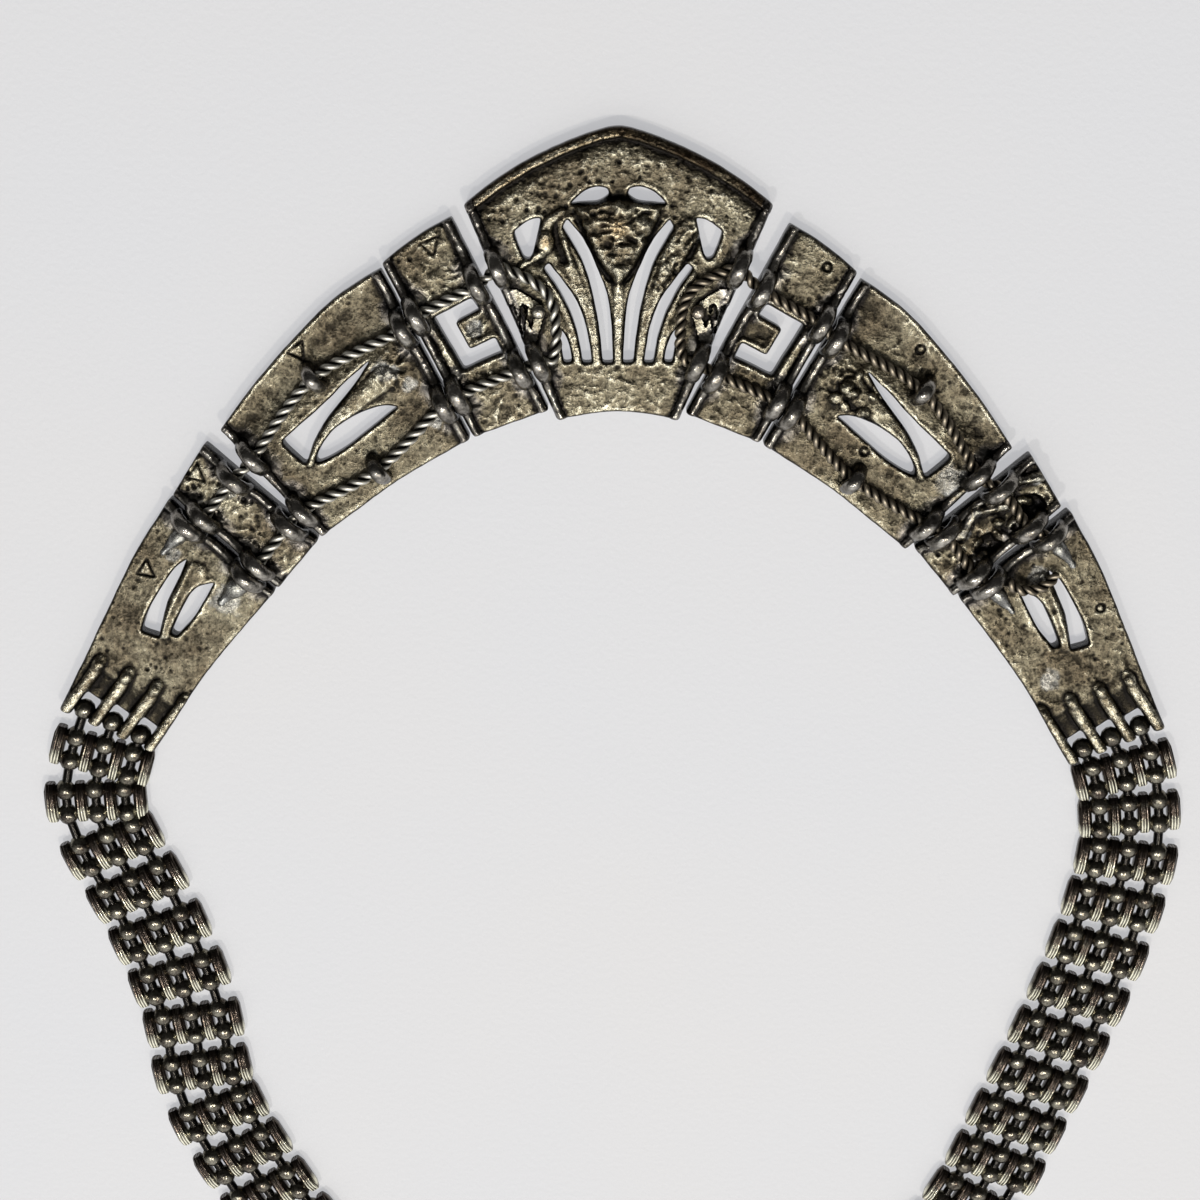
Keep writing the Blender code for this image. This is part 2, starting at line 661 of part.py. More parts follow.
def chain_lines(rows):
    """Two cross lines of eight points for every row, kept from running into each other."""
    offsets = []
    for column in range(4):
        middle = (column - 1.5) * CHAIN_COLUMN
        offsets += [middle - BAR_WIDTH / 2, middle + BAR_WIDTH / 2]
    lines = []
    last = len(rows) - 1
    for i, (middle, along, across) in enumerate(rows):
        back = BAR_LENGTH / 2
        ahead = BAR_LENGTH / 2
        if i == 0:
            back = ahead = PIN_SPACING / 2 - 0.6
        if i == last:
            back = 1.2
            ahead = -CLASP_GAP
        lines.append([middle - along * back + across * w for w in offsets])
        lines.append([middle + along * ahead + across * w for w in offsets])
    for i in range(1, len(lines) - 1, 2):
        direction = (rows[i // 2][1] + rows[i // 2 + 1][1]).normalized()
        for w in range(8):
            short = BAR_GAP - (lines[i + 1][w] - lines[i][w]).dot(direction)
            if short > 0.0:
                lines[i][w] = lines[i][w] - direction * short / 2
                lines[i + 1][w] = lines[i + 1][w] + direction * short / 2
    return lines


def build_chain(side, matrices, material):
    """Woven band: thick bars, thinner link columns between them, open between the rows."""
    rows = chain_rows(side, matrices)
    lines = chain_lines(rows)
    levels = (BEAD_THICK / 2, CHAIN_THICK / 2)
    middle = CHAIN_THICK / 2
    last = len(lines) - 2

    def level(strip, column):
        if strip < 0 or strip > last or column < 0 or column > 6:
            return 0
        bar = column % 2 == 0
        tab = strip == 0 or strip == last
        between = strip % 2 == 1
        if bar:
            return 0 if between or tab else 2
        return 1

    bm = bmesh.new()
    made = {}

    def vertex(i, w, height):
        key = (i, w, round(height, 4))
        if key not in made:
            point = lines[i][w]
            made[key] = bm.verts.new((point.x * MM, point.y * MM, (middle + height) * MM))
        return made[key]

    def wall(a, b, first, second):
        """Wall between two neighbouring cells along the edge from point a to point b."""
        low, high = sorted((first, second))
        if low == high:
            return
        bounds = []
        if low == 0:
            bounds.append((-levels[0], levels[0]))
        for k in range(max(low, 1), high):
            bounds.append((levels[k - 1], levels[k]))
            bounds.append((-levels[k], -levels[k - 1]))
        for bottom, top in bounds:
            bm.faces.new((vertex(*a, bottom), vertex(*b, bottom), vertex(*b, top),
                          vertex(*a, top)))

    for strip in range(last + 1):
        for column in range(7):
            here = level(strip, column)
            if here:
                height = levels[here - 1]
                for sign in (1.0, -1.0):
                    bm.faces.new([vertex(i, w, sign * height) for i, w in
                                  ((strip, column), (strip + 1, column),
                                   (strip + 1, column + 1), (strip, column + 1))])
    for strip in range(last + 2):
        for column in range(7):
            wall((strip, column), (strip, column + 1),
                 level(strip - 1, column), level(strip, column))
    for strip in range(last + 1):
        for column in range(8):
            wall((strip, column), (strip + 1, column),
                 level(strip, column - 1), level(strip, column))
    chain = add_object(side + "_chain", bm, material)
    pin = bmesh.new()
    inner = pin_point(prong_centre(0) - PRONG_WIDTH / 2 + 0.1)
    outer = pin_point(prong_centre(3) + PRONG_WIDTH / 2 - 0.1)
    ends = [matrices["end"] @ (Vector((p.x, p.y, middle)) * MM) / MM for p in (inner, outer)]
    add_tube(pin, ends, [PIN_RADIUS] * 2, LOOP_SIDES)
    combine(chain, add_object(side + "_pin", pin), "UNION")
    return chain, rows[-1]


def build_clasp(ends, material):
    """Plain rounded block between the ends of both chains."""
    left = ends["left"][0]
    right = ends["right"][0]
    middle = (left + right) / 2
    half = (right - left).length / 2
    points = []
    for sx, sy, first in ((1, 1, 0.0), (-1, 1, 90.0), (-1, -1, 180.0), (1, -1, 270.0)):
        for k in range(4):
            angle = math.radians(first + 30.0 * k)
            x = sx * (half - CLASP_CORNER) + CLASP_CORNER * math.cos(angle)
            y = sy * (CLASP_WIDTH / 2 - CLASP_CORNER) + CLASP_CORNER * math.sin(angle)
            points.append((x, y))
    bm = bmesh.new()
    add_prism(bm, points, 0.0, CLASP_THICK)
    clasp = add_object("clasp", bm, material)
    turn = math.atan2(right.y - left.y, right.x - left.x)
    place(clasp, Matrix.Translation(middle.to_3d() * MM) @ Matrix.Rotation(turn, 4, "Z"))
    return clasp


def rest_on_floor(objects):
    """Bring the middle of the box round everything over the origin and its floor to z = 0."""
    points = [obj.matrix_world @ v.co for obj in objects for v in obj.data.vertices]
    low = Vector([min(p[k] for p in points) for k in range(3)])
    high = Vector([max(p[k] for p in points) for k in range(3)])
    necklace = bpy.data.objects.new("necklace", None)
    bpy.context.scene.collection.objects.link(necklace)
    necklace.location = (-(low.x + high.x) / 2, -(low.y + high.y) / 2, -low.z)
    for obj in objects:
        obj.parent = necklace


def finish_plate(obj):
    """Smooth the round loops and lumps, keep the plate's own edges sharp."""
    for polygon in obj.data.polygons:
        polygon.use_smooth = True
    obj.data.set_sharp_from_angle(angle=math.radians(50.0))


def build():
    clear_scene()
    centre = build_centre(make_material("centre_plate_pewter", COLOURS["plate"], 0.42))
    finish_plate(centre)
    place(centre, plate_matrices("right")[1])
    objects = [centre]
    builders = {"square": build_square, "wing": build_wing,
                "small": build_small, "end": build_end}
    ends = {}
    for side in ("left", "right"):
        matrices, base = plate_matrices(side)
        for name, builder in builders.items():
            material = make_material(f"{side}_{name}_plate_pewter", COLOURS["plate"], 0.42)
            plate = builder(side, material)
            finish_plate(plate)
            place(plate, matrices[name])
            objects.append(plate)
        wire_material = make_material(side + "_wire_silver", COLOURS["wire"], 0.35)
        objects.append(build_wire(side, matrices, base, wire_material))
        chain_material = make_material(side + "_chain_gunmetal", COLOURS["chain"], 0.35)
        chain, ends[side] = build_chain(side, matrices, chain_material)
        objects.append(chain)
    objects.append(build_clasp(ends, make_material("clasp_metal", COLOURS["clasp"], 0.4)))
    rest_on_floor(objects)


build()
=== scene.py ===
# %% [markdown]
# # A bib necklace of cast plates, seen from the back
# Nine cast pewter plates are laced together with two hairpins of twisted wire, and a flat
# bar chain hangs from each end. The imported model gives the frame: every piece made here
# takes the place of one of its solids and stays where that solid is. All drawing is done
# in millimetres, because that is how a caster or a chain maker thinks, and turned into
# metres only when a mesh is made.

# %% Load the fixed frame
import math
from types import SimpleNamespace
import bpy
import numpy as np
from mathutils import Matrix, Vector, geometry, kdtree


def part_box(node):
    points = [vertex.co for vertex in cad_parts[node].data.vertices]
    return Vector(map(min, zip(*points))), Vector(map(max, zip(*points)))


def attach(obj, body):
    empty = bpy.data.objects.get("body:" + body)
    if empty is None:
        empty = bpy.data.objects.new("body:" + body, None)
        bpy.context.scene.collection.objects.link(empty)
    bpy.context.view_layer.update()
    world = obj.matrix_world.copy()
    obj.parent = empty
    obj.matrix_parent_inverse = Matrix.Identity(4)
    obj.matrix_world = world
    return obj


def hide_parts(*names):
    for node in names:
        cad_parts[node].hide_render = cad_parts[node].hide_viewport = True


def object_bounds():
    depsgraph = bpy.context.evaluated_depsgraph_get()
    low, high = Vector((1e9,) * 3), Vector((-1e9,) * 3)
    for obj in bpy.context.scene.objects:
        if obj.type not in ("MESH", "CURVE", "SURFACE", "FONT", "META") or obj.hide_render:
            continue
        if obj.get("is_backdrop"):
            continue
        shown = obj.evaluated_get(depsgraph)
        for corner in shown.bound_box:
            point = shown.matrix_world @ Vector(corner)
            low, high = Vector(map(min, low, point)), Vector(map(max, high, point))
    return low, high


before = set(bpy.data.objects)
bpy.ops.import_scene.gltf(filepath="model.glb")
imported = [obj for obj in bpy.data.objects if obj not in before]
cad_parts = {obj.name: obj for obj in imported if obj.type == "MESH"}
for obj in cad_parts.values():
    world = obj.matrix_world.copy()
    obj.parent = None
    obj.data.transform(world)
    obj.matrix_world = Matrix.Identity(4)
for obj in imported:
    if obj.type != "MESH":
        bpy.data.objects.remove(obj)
cad_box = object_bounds()
MM = 0.001
scene = bpy.context.scene

# %% [markdown]
# ## Sizes and outlines
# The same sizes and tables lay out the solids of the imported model. A plate is drawn once,
# for the right-hand side: x runs along the necklace from the centre towards the clasp, y
# outwards from the neck. The left-hand plate is its mirror image. Outlines and openings
# are shares of the plate's length and depth.

# %% Sizes in millimetres
THICK = 2.6
GAP = 0.4
CENTRE_HALF_WIDTH = 19.95
CENTRE_DEPTH = 38.1
LENGTH = {"square": 10.7, "wing": 24.3, "small": 9.0, "end": 29.3}
DEPTH = {"centre": 38.1, "square": 28.0, "wing": 25.0, "small": 19.7, "end": 18.6}
WIRE_RADIUS = 0.6
WIRE_HEIGHT = 3.5
LOOP_RADIUS = 0.85
LOOP_SPAN = 6.5
LOOP_INSET = 0.95
STAPLE_RADIUS = 0.82
STAPLE_SPAN = 5.0
CHAIN_COLUMN = 4.1
BAR_WIDTH = 1.8
BAR_LENGTH = 5.7
CHAIN_THICK = 2.5
PIN_SPACING = 3.6
PITCH_SLACK = 6.35
PITCH_TAUT = 7.15
SLACK_ROWS = 4
PRONGS = 4
PRONG_WIDTH = 1.7
PRONG_FIRST = 0.72
PIN_INSET = 1.25
PIN_SLANT = 0.19
SLOT_DEPTH = 2.5
END_TAIL = (PRONGS - 1) * CHAIN_COLUMN + 2 * PRONG_FIRST

# %% Outlines, openings and relief
CENTRE_HALF = [
    (0.0, 0.030), (0.195, 0.022), (0.403, 0.0), (1.0, 0.740), (0.807, 0.816),
    (0.596, 0.885), (0.366, 0.942), (0.145, 0.985), (0.0, 1.0),
]
CENTRE_OPENINGS = [
    [(0.070, 0.795), (0.145, 0.800), (0.231, 0.782), (0.311, 0.743),
     (0.211, 0.748), (0.125, 0.753), (0.060, 0.774)],
    [(0.501, 0.696), (0.576, 0.688), (0.672, 0.651), (0.657, 0.619),
     (0.612, 0.562), (0.576, 0.556), (0.551, 0.583), (0.526, 0.638)],
    [(0.033, 0.202), (0.100, 0.202), (0.118, 0.294), (0.160, 0.423),
     (0.236, 0.551), (0.361, 0.664), (0.331, 0.693), (0.231, 0.627),
     (0.155, 0.549), (0.078, 0.446), (0.048, 0.349)],
    [(0.170, 0.202), (0.231, 0.202), (0.261, 0.289), (0.316, 0.378),
     (0.401, 0.462), (0.486, 0.525), (0.451, 0.543), (0.356, 0.480),
     (0.266, 0.409), (0.206, 0.320)],
    [(0.303, 0.205), (0.356, 0.202), (0.378, 0.265), (0.420, 0.310),
     (0.405, 0.328), (0.356, 0.304), (0.321, 0.260)],
]
OUTLINES = {
    "square": [(0.0, 0.0), (1.0, 0.0), (1.271, 0.911), (0.780, 0.968), (0.280, 1.0)],
    "wing": [(0.0, 0.0), (0.33, 0.020), (0.53, 0.024), (0.78, 0.012), (1.0, 0.0),
             (1.107, 0.772), (0.802, 0.872), (0.506, 0.946), (0.180, 1.005), (-0.123, 1.0)],
    "small": [(0.0, 0.0), (1.0, 0.0), (0.878, 0.944), (-0.056, 1.0)],
    "end": [(0.0, 0.0), (0.29, 0.027), (0.57, 0.040), (0.80, 0.015),
            (0.79, 0.817), (0.51, 0.898), (0.237, 0.968), (-0.065, 1.0)],
}
OPENINGS = {
    "square": [[(0.402, 0.618), (0.916, 0.593), (0.804, 0.318), (0.290, 0.332),
                (0.304, 0.407), (0.645, 0.396), (0.692, 0.536), (0.364, 0.557)]],
    "wing": [[(0.214, 0.636), (0.395, 0.612), (0.535, 0.585), (0.856, 0.544),
              (0.864, 0.516), (0.835, 0.380), (0.819, 0.376), (0.716, 0.448),
              (0.597, 0.504), (0.453, 0.548), (0.313, 0.592)],
             [(0.230, 0.352), (0.432, 0.336), (0.576, 0.324), (0.708, 0.328),
              (0.774, 0.344), (0.745, 0.380), (0.642, 0.428), (0.539, 0.444),
              (0.403, 0.432), (0.284, 0.396)]],
    "small": [],
    "end": [[(0.123, 0.645), (0.232, 0.608), (0.348, 0.575), (0.512, 0.473),
             (0.536, 0.602), (0.430, 0.651), (0.290, 0.672), (0.188, 0.672)],
            [(0.143, 0.387), (0.215, 0.468), (0.328, 0.462), (0.464, 0.419),
             (0.461, 0.371), (0.328, 0.355)]],
}
CORNERS = {"square": (0, 4, 1, 2), "wing": (0, 9, 4, 5), "small": (0, 3, 1, 2)}
HAIRPIN = [(0.682, 0.517), (0.566, 0.488), (0.466, 0.446), (0.418, 0.388), (0.406, 0.320),
           (0.406, 0.260), (0.436, 0.215)]
POST_AT = (0.519, 0.383)
BRACKET = [((0.672, 0.444), (0.546, 0.402)), ((0.566, 0.268), (0.514, 0.365)),
           ((0.682, 0.444), (0.566, 0.268))]

# %% How the plates and the wires lie
JOINT_OPENS = {
    "left": {"square": 3.4, "wing": 0.2, "small": 7.0, "end": 0.3},
    "right": {"square": 5.2, "wing": 1.2, "small": 4.9, "end": 3.0},
}
JOINT_STEPS = {
    "left": {"square": 1.7, "wing": 0.0, "small": 0.0, "end": 0.0},
    "right": {"square": 1.2, "wing": 0.0, "small": 1.1, "end": 0.3},
}
TIP_UP = {"left": 0.0, "right": 2.5}
CROSSING = {
    "centre far": (0.520, 0.197), "square near": (0.675, 0.236), "square far": (0.629, 0.214),
    "wing near": (0.672, 0.232), "wing staple": (0.728, 0.140), "wing far": (0.552, 0.176),
    "small near": (0.700, 0.218), "small far": (0.695, 0.213), "end near": (0.769, 0.226),
}
STAPLE_ALONG = 0.51 * LENGTH["wing"]
centre_low, centre_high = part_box("centre_plate")
BASE = (0.5 * (centre_low[0] + centre_high[0]) / MM, centre_high[1] / MM - CENTRE_DEPTH)
CENTRE_AT = (2.37, 25.45)
ROUTE_SHIFT = np.array(BASE) - np.array(CENTRE_AT)
CHAIN_ROUTE = {
    "left": [(-68.7, -21.7), (-70.0, -28.1), (-68.7, -34.0), (-63.2, -46.0), (-58.7, -59.7),
             (-56.5, -73.6), (-50.6, -86.3), (-41.5, -100.5), (-28.0, -114.0),
             (-12.5, -121.2), (-4.5, -121.6)],
    "right": [(72.3, -23.5), (73.6, -30.2), (73.7, -37.0), (70.8, -50.3), (66.1, -64.3),
              (60.5, -78.2), (55.0, -91.0), (46.0, -104.0), (33.5, -115.0),
              (18.5, -121.3), (10.5, -121.6)],
}
print("centre plate stands at", [round(v, 2) for v in BASE])

# %% Scale the tables
def scaled(shares, length, depth):
    """Shares of a plate's length and depth as millimetres."""
    return [(x * length, y * depth) for x, y in shares]


def mirrored(points):
    """The left-hand image of some points, in the opposite order."""
    return [(-x, y) for x, y in reversed(points)]


def pin_point(out):
    """Middle line of the first chain pin, slanted like the prong tips."""
    return (LENGTH["end"] - PIN_INSET + out * PIN_SLANT, out)


half = scaled(CENTRE_HALF, CENTRE_HALF_WIDTH, CENTRE_DEPTH)
plan = {"centre": half + mirrored(half[1:-1])}
holes = {"centre": []}
for shares in CENTRE_OPENINGS:
    shape = scaled(shares, CENTRE_HALF_WIDTH, CENTRE_DEPTH)
    holes["centre"] += [shape, mirrored(shape)]
for kind in ("square", "wing", "small", "end"):
    plan[kind] = scaled(OUTLINES[kind], LENGTH[kind], DEPTH[kind])
    holes[kind] = [scaled(s, LENGTH[kind], DEPTH[kind]) for s in OPENINGS[kind]]

# %% [markdown]
# ## The four prongs
# The end plate finishes in four prongs that hold the chain's first pin, so its outline
# runs in and out between them. The fingers are worked out from the spacing of the chain's
# columns, in place of being drawn point by point, because each link has to fit between
# two of them.

# %% Draw the fingers into the end plate's outline
fingers = []
slot_floor = []
for index in range(PRONGS):
    middle = PRONG_FIRST + index * CHAIN_COLUMN
    is_last = index == PRONGS - 1
    low = middle - PRONG_WIDTH / 2 if index else 0.0
    high = END_TAIL if is_last else middle + PRONG_WIDTH / 2
    fingers += [(LENGTH["end"] + PIN_SLANT * out, out) for out in (low, high)]
    if not is_last:
        following = high + CHAIN_COLUMN - PRONG_WIDTH
        floor = pin_point(middle + CHAIN_COLUMN / 2)[0] - SLOT_DEPTH
        fingers += [(floor, high), (floor, following)]
        slot_floor.append((floor, high, following))
plan["end"][4:4] = fingers
near_far = {
    kind: ((plan[kind][a], plan[kind][b]), (plan[kind][c], plan[kind][d]))
    for kind, (a, b, c, d) in CORNERS.items()
}
near_far["centre"] = (None, (half[2], half[3]))
near_far["end"] = ((plan["end"][0], plan["end"][-1]), None)
print("end plate outline:", len(plan["end"]), "points")

# %% [markdown]
# ## Where each plate lies
# The plates are laid end to end. Each one starts a small gap from the inner corner of the
# one before, turned so that the joint opens a few degrees outwards. The result is one
# matrix a plate, from its own millimetres to the necklace's metres.

# %% Matrices for the plates
def lean_of(edge):
    """How far an edge leans from straight out, in radians."""
    return math.atan2(edge[1][0] - edge[0][0], edge[1][1] - edge[0][1])


def lay_plates(side):
    """A matrix for each plate of one side."""
    flip = Matrix.Scale(-1.0, 4, (1.0, 0.0, 0.0)) if side == "left" else Matrix.Identity(4)
    base = Matrix.Translation((BASE[0], BASE[1], 0.0)) @ flip
    edge = near_far["centre"][1]
    corner = Vector((*edge[0], 0.0))
    lean = lean_of(edge)
    placed = {"centre": base}
    for kind in ("square", "wing", "small", "end"):
        near, far = near_far[kind]
        turn = lean + math.radians(JOINT_OPENS[side][kind]) - lean_of(near)
        corner = corner + Vector((math.cos(lean), -math.sin(lean), 0.0)) * GAP
        step = Vector((math.sin(lean), math.cos(lean), 0.0)) * JOINT_STEPS[side][kind]
        corner = corner + step
        matrix = Matrix.Translation(corner) @ Matrix.Rotation(-turn, 4, "Z")
        if kind == "small":
            matrix = matrix @ Matrix.Rotation(math.radians(TIP_UP[side]), 4, "X")
        placed[kind] = base @ matrix
        if far:
            corner = corner + Matrix.Rotation(-turn, 4, "Z") @ Vector((far[0][0], 0.0, 0.0))
            lean = turn + lean_of(far)
    return placed


lay = {side: lay_plates(side) for side in ("left", "right")}
for side in lay:
    print(side, "end plate at", [round(v, 1) for v in lay[side]["end"].translation])

# %% [markdown]
# ## Helpers for cast surfaces
# A cast surface is a height over a flat plate: rounded edges, hollows, lumps, folds and
# pits added up. Smooth noise makes what nobody drew. It is worked out with arrays over
# all points at once, which is far quicker than a loop in Python.

# %% Smooth noise
CELLS = 64


def value_noise(x, y, scale, seed):
    """Smooth noise between -1 and 1 whose lumps are about scale millimetres across."""
    grid = np.random.default_rng(seed).uniform(-1.0, 1.0, (CELLS, CELLS))
    u, v = x / scale + 31.7, y / scale + 17.3
    i, j = np.floor(u).astype(int), np.floor(v).astype(int)
    fu, fv = u - i, v - j
    fu, fv = fu * fu * (3 - 2 * fu), fv * fv * (3 - 2 * fv)
    i, j, next_i, next_j = i % CELLS, j % CELLS, (i + 1) % CELLS, (j + 1) % CELLS
    low = grid[i, j] * (1 - fu) + grid[next_i, j] * fu
    high = grid[i, next_j] * (1 - fu) + grid[next_i, next_j] * fu
    return low * (1 - fv) + high * fv


def cast_noise(x, y, scale, octaves, seed):
    """Noise with finer noise on it; each finer layer is turned, so no grid shows."""
    total, weight, size = np.zeros_like(x), 0.0, 1.0
    for k in range(octaves):
        c, s = math.cos(0.9 * k + 0.4), math.sin(0.9 * k + 0.4)
        total += size * value_noise(x * c - y * s, x * s + y * c, scale / 2.1 ** k, seed + k)
        weight += size
        size *= 0.55
    return total / weight


def dome(share):
    """Round cross-section: 1 at the middle line, 0 at the edge."""
    return np.sqrt(np.clip(1.0 - share * share, 0.0, 1.0))


def step_up(value, start, end):
    """0 before start, 1 after end, smooth between."""
    t = np.clip((value - start) / (end - start), 0.0, 1.0)
    return t * t * (3 - 2 * t)


def bell(distance, width):
    """1 at no distance, fading smoothly to almost nothing at two widths."""
    return np.exp(-(distance / width) ** 2)


# %% Distance to drawn lines
FAR = 99.0


def from_line(x, y, points, widths=None):
    """Distance to a bent line, or its share of the half width given at each point."""
    widths = widths or [1.0] * len(points)
    best = np.full_like(x, FAR)
    for a, b, wa, wb in zip(points, points[1:], widths, widths[1:]):
        dx, dy = b[0] - a[0], b[1] - a[1]
        t = np.clip(((x - a[0]) * dx + (y - a[1]) * dy) / (dx * dx + dy * dy), 0.0, 1.0)
        d = np.hypot(x - a[0] - t * dx, y - a[1] - t * dy)
        best = np.minimum(best, d / (wa + (wb - wa) * t))
    return best


def spot(x, y, at, radius):
    """A soft round spot: 1 in its middle."""
    return np.exp(-((x - at[0]) ** 2 + (y - at[1]) ** 2) / (radius * radius))


def pits(x, y, count, sizes, depth, seed, where=None):
    """Small round gas pits of a casting, as a depth below the surface."""
    rng = np.random.default_rng(seed)
    total = np.zeros_like(x)
    low, high = (x.min(), y.min()), (x.max(), y.max())
    for _ in range(count):
        at = (rng.uniform(low[0], high[0]), rng.uniform(low[1], high[1]))
        radius, deep = rng.uniform(*sizes), depth * rng.uniform(0.5, 1.2)
        if where is not None and not where(*at):
            continue
        near = (np.abs(x - at[0]) < 2 * radius) & (np.abs(y - at[1]) < 2 * radius)
        total[near] = np.maximum(total[near], deep * spot(x[near], y[near], at, radius))
    return total


# %% [markdown]
# ## From an outline to a plate
# The drawn points are joined by curves, except at sharp corners, and the closed line is
# cut into even short steps. Blender's constrained triangulation then fills the outline
# but not its openings. This keeps every pierced edge exact, where a remesh of a solid
# would leave small stairs along it.

# %% Smooth closed outlines
def even_steps(line, step):
    """The same closed line, cut into steps of equal length."""
    closed = np.vstack([line, line[:1]])
    run = np.concatenate([[0.0], np.cumsum(np.hypot(*np.diff(closed, axis=0).T))])
    count = max(8, int(round(run[-1] / step)))
    at = np.linspace(0.0, run[-1], count, endpoint=False)
    return np.column_stack([np.interp(at, run, closed[:, 0]), np.interp(at, run, closed[:, 1])])


def curve_point(p0, p1, p2, p3, t):
    """Point between p1 and p2 on a smooth curve through all four; t runs from 0 to 1."""
    return 0.5 * (2 * p1 + (p2 - p0) * t + (2 * p0 - 5 * p1 + 4 * p2 - p3) * t ** 2
                  + (3 * p1 - p0 - 3 * p2 + p3) * t ** 3)


def normals_of(ring):
    """Unit directions square to a closed line, on its right-hand side."""
    along = np.roll(ring, -1, 0) - np.roll(ring, 1, 0)
    return np.column_stack([along[:, 1], -along[:, 0]]) / np.hypot(*along.T)[:, None]


SHARP_TURN = 0.75
UNEVEN = 0.05


def cast_outline(points, step, seed):
    """Closed curve through the points with its sharp corners kept, a little uneven."""
    pts = np.array(points, float)
    count = len(pts)
    before, after = pts - np.roll(pts, 1, 0), np.roll(pts, -1, 0) - pts
    turn = np.arctan2(before[:, 0] * after[:, 1] - before[:, 1] * after[:, 0],
                      (before * after).sum(1))
    sharp = np.abs(turn) > SHARP_TURN
    line = []
    for i in range(count):
        p1, p2 = pts[i], pts[(i + 1) % count]
        p0 = p1 if sharp[i] else pts[i - 1]
        p3 = p2 if sharp[(i + 1) % count] else pts[(i + 2) % count]
        line += [curve_point(p0, p1, p2, p3, t) for t in np.arange(0.0, 1.0, 0.05)]
    line = even_steps(np.array(line), step)
    for _ in range(3):
        line = 0.25 * np.roll(line, 1, 0) + 0.5 * line + 0.25 * np.roll(line, -1, 0)
    wave = cast_noise(line[:, 0], line[:, 1], 1.6, 2, seed)
    return line + normals_of(line) * (UNEVEN * wave[:, None])


def turned(ring, anticlockwise):
    """The ring in the wanted direction."""
    area = np.sum(ring[:, 0] * np.roll(ring[:, 1], -1) - np.roll(ring[:, 0], -1) * ring[:, 1])
    return ring if (area > 0) == anticlockwise else ring[::-1]


# %% Fill an outline with even triangles
def inside(px, py, rings):
    """Even-odd test of many points against all rings."""
    odd = np.zeros(px.shape, bool)
    for ring in rings:
        x1, y1 = ring.T
        x2, y2 = np.roll(x1, -1), np.roll(y1, -1)
        for k in range(len(ring)):
            if y1[k] == y2[k]:
                continue
            span = (py >= min(y1[k], y2[k])) & (py < max(y1[k], y2[k]))
            if span.any():
                cross = x1[k] + (py[span] - y1[k]) * (x2[k] - x1[k]) / (y2[k] - y1[k])
                odd[span] ^= px[span] < cross
    return odd


def tree_of(points):
    """A search tree over points of the plane or of space."""
    tree = kdtree.KDTree(len(points))
    for i, p in enumerate(points):
        tree.insert((*p, 0.0)[:3], i)
    tree.balance()
    return tree


def distances(x, y, tree):
    """Distance of each point of the plane to the nearest one in the tree."""
    return np.array([tree.find((a, b, 0.0))[2] for a, b in zip(x, y)])


ROW_HEIGHT = 0.866
SCATTER = 0.12


def fill(rings, spacing, keep_off):
    """Points and triangles inside the first ring and outside the others."""
    edge = np.vstack(rings)
    tree = tree_of(edge)
    low, high = edge.min(0), edge.max(0)
    rows = np.arange(low[1], high[1], spacing * ROW_HEIGHT)
    grid = []
    for r, y in enumerate(rows):
        xs = np.arange(low[0] + (r % 2) * spacing / 2, high[0], spacing)
        grid.append(np.column_stack([xs, np.full_like(xs, y)]))
    grid = np.vstack(grid)
    rng = np.random.default_rng(4)
    grid += rng.uniform(-SCATTER, SCATTER, grid.shape) * spacing
    grid = grid[inside(grid[:, 0], grid[:, 1], rings)]
    grid = grid[distances(grid[:, 0], grid[:, 1], tree) > keep_off]
    points = np.vstack([edge, grid])
    fences, start = [], 0
    for ring in rings:
        count = len(ring)
        fences += [(start + i, start + (i + 1) % count) for i in range(count)]
        start += count
    made = geometry.delaunay_2d_cdt([Vector(p) for p in points], fences, [], 0, 1e-7, True)
    where = {}
    for new, olds in enumerate(made[3]):
        for old in olds:
            where[old] = new
    flat = np.array([(v.x, v.y) for v in made[0]])
    faces = np.array([f for f in made[2] if len(f) == 3])
    edge_new = {where[i] for i in range(len(edge))}
    all_edge = np.array([all(v in edge_new for v in f) for f in faces])
    middles = flat[faces].mean(1)
    keep = np.ones(len(faces), bool)
    keep[all_edge] = inside(middles[all_edge, 0], middles[all_edge, 1], rings)
    order = [where[i] for i in range(len(edge))]
    return flat, faces[keep], order


# %% [markdown]
# ## Raised loops and other round bars
# The loops that hold the wire, the staples and the posts stand clear of the plate, so a
# height over the plate can't make them. They are round bars swept along a line, and a
# collector gathers them with the plate into one mesh, with three painted numbers at each
# point: how deep it lies in a hollow, which also carries painted shade on the walls and
# near the plate; how dark and smooth its metal is; and how brassy, which also carries
# painted gold highlights.

# %% A collector for one casting
def new_object(name, data):
    """An object with this mesh, lamp or camera, put into the scene."""
    made = bpy.data.objects.new(name, data)
    scene.collection.objects.link(made)
    return made


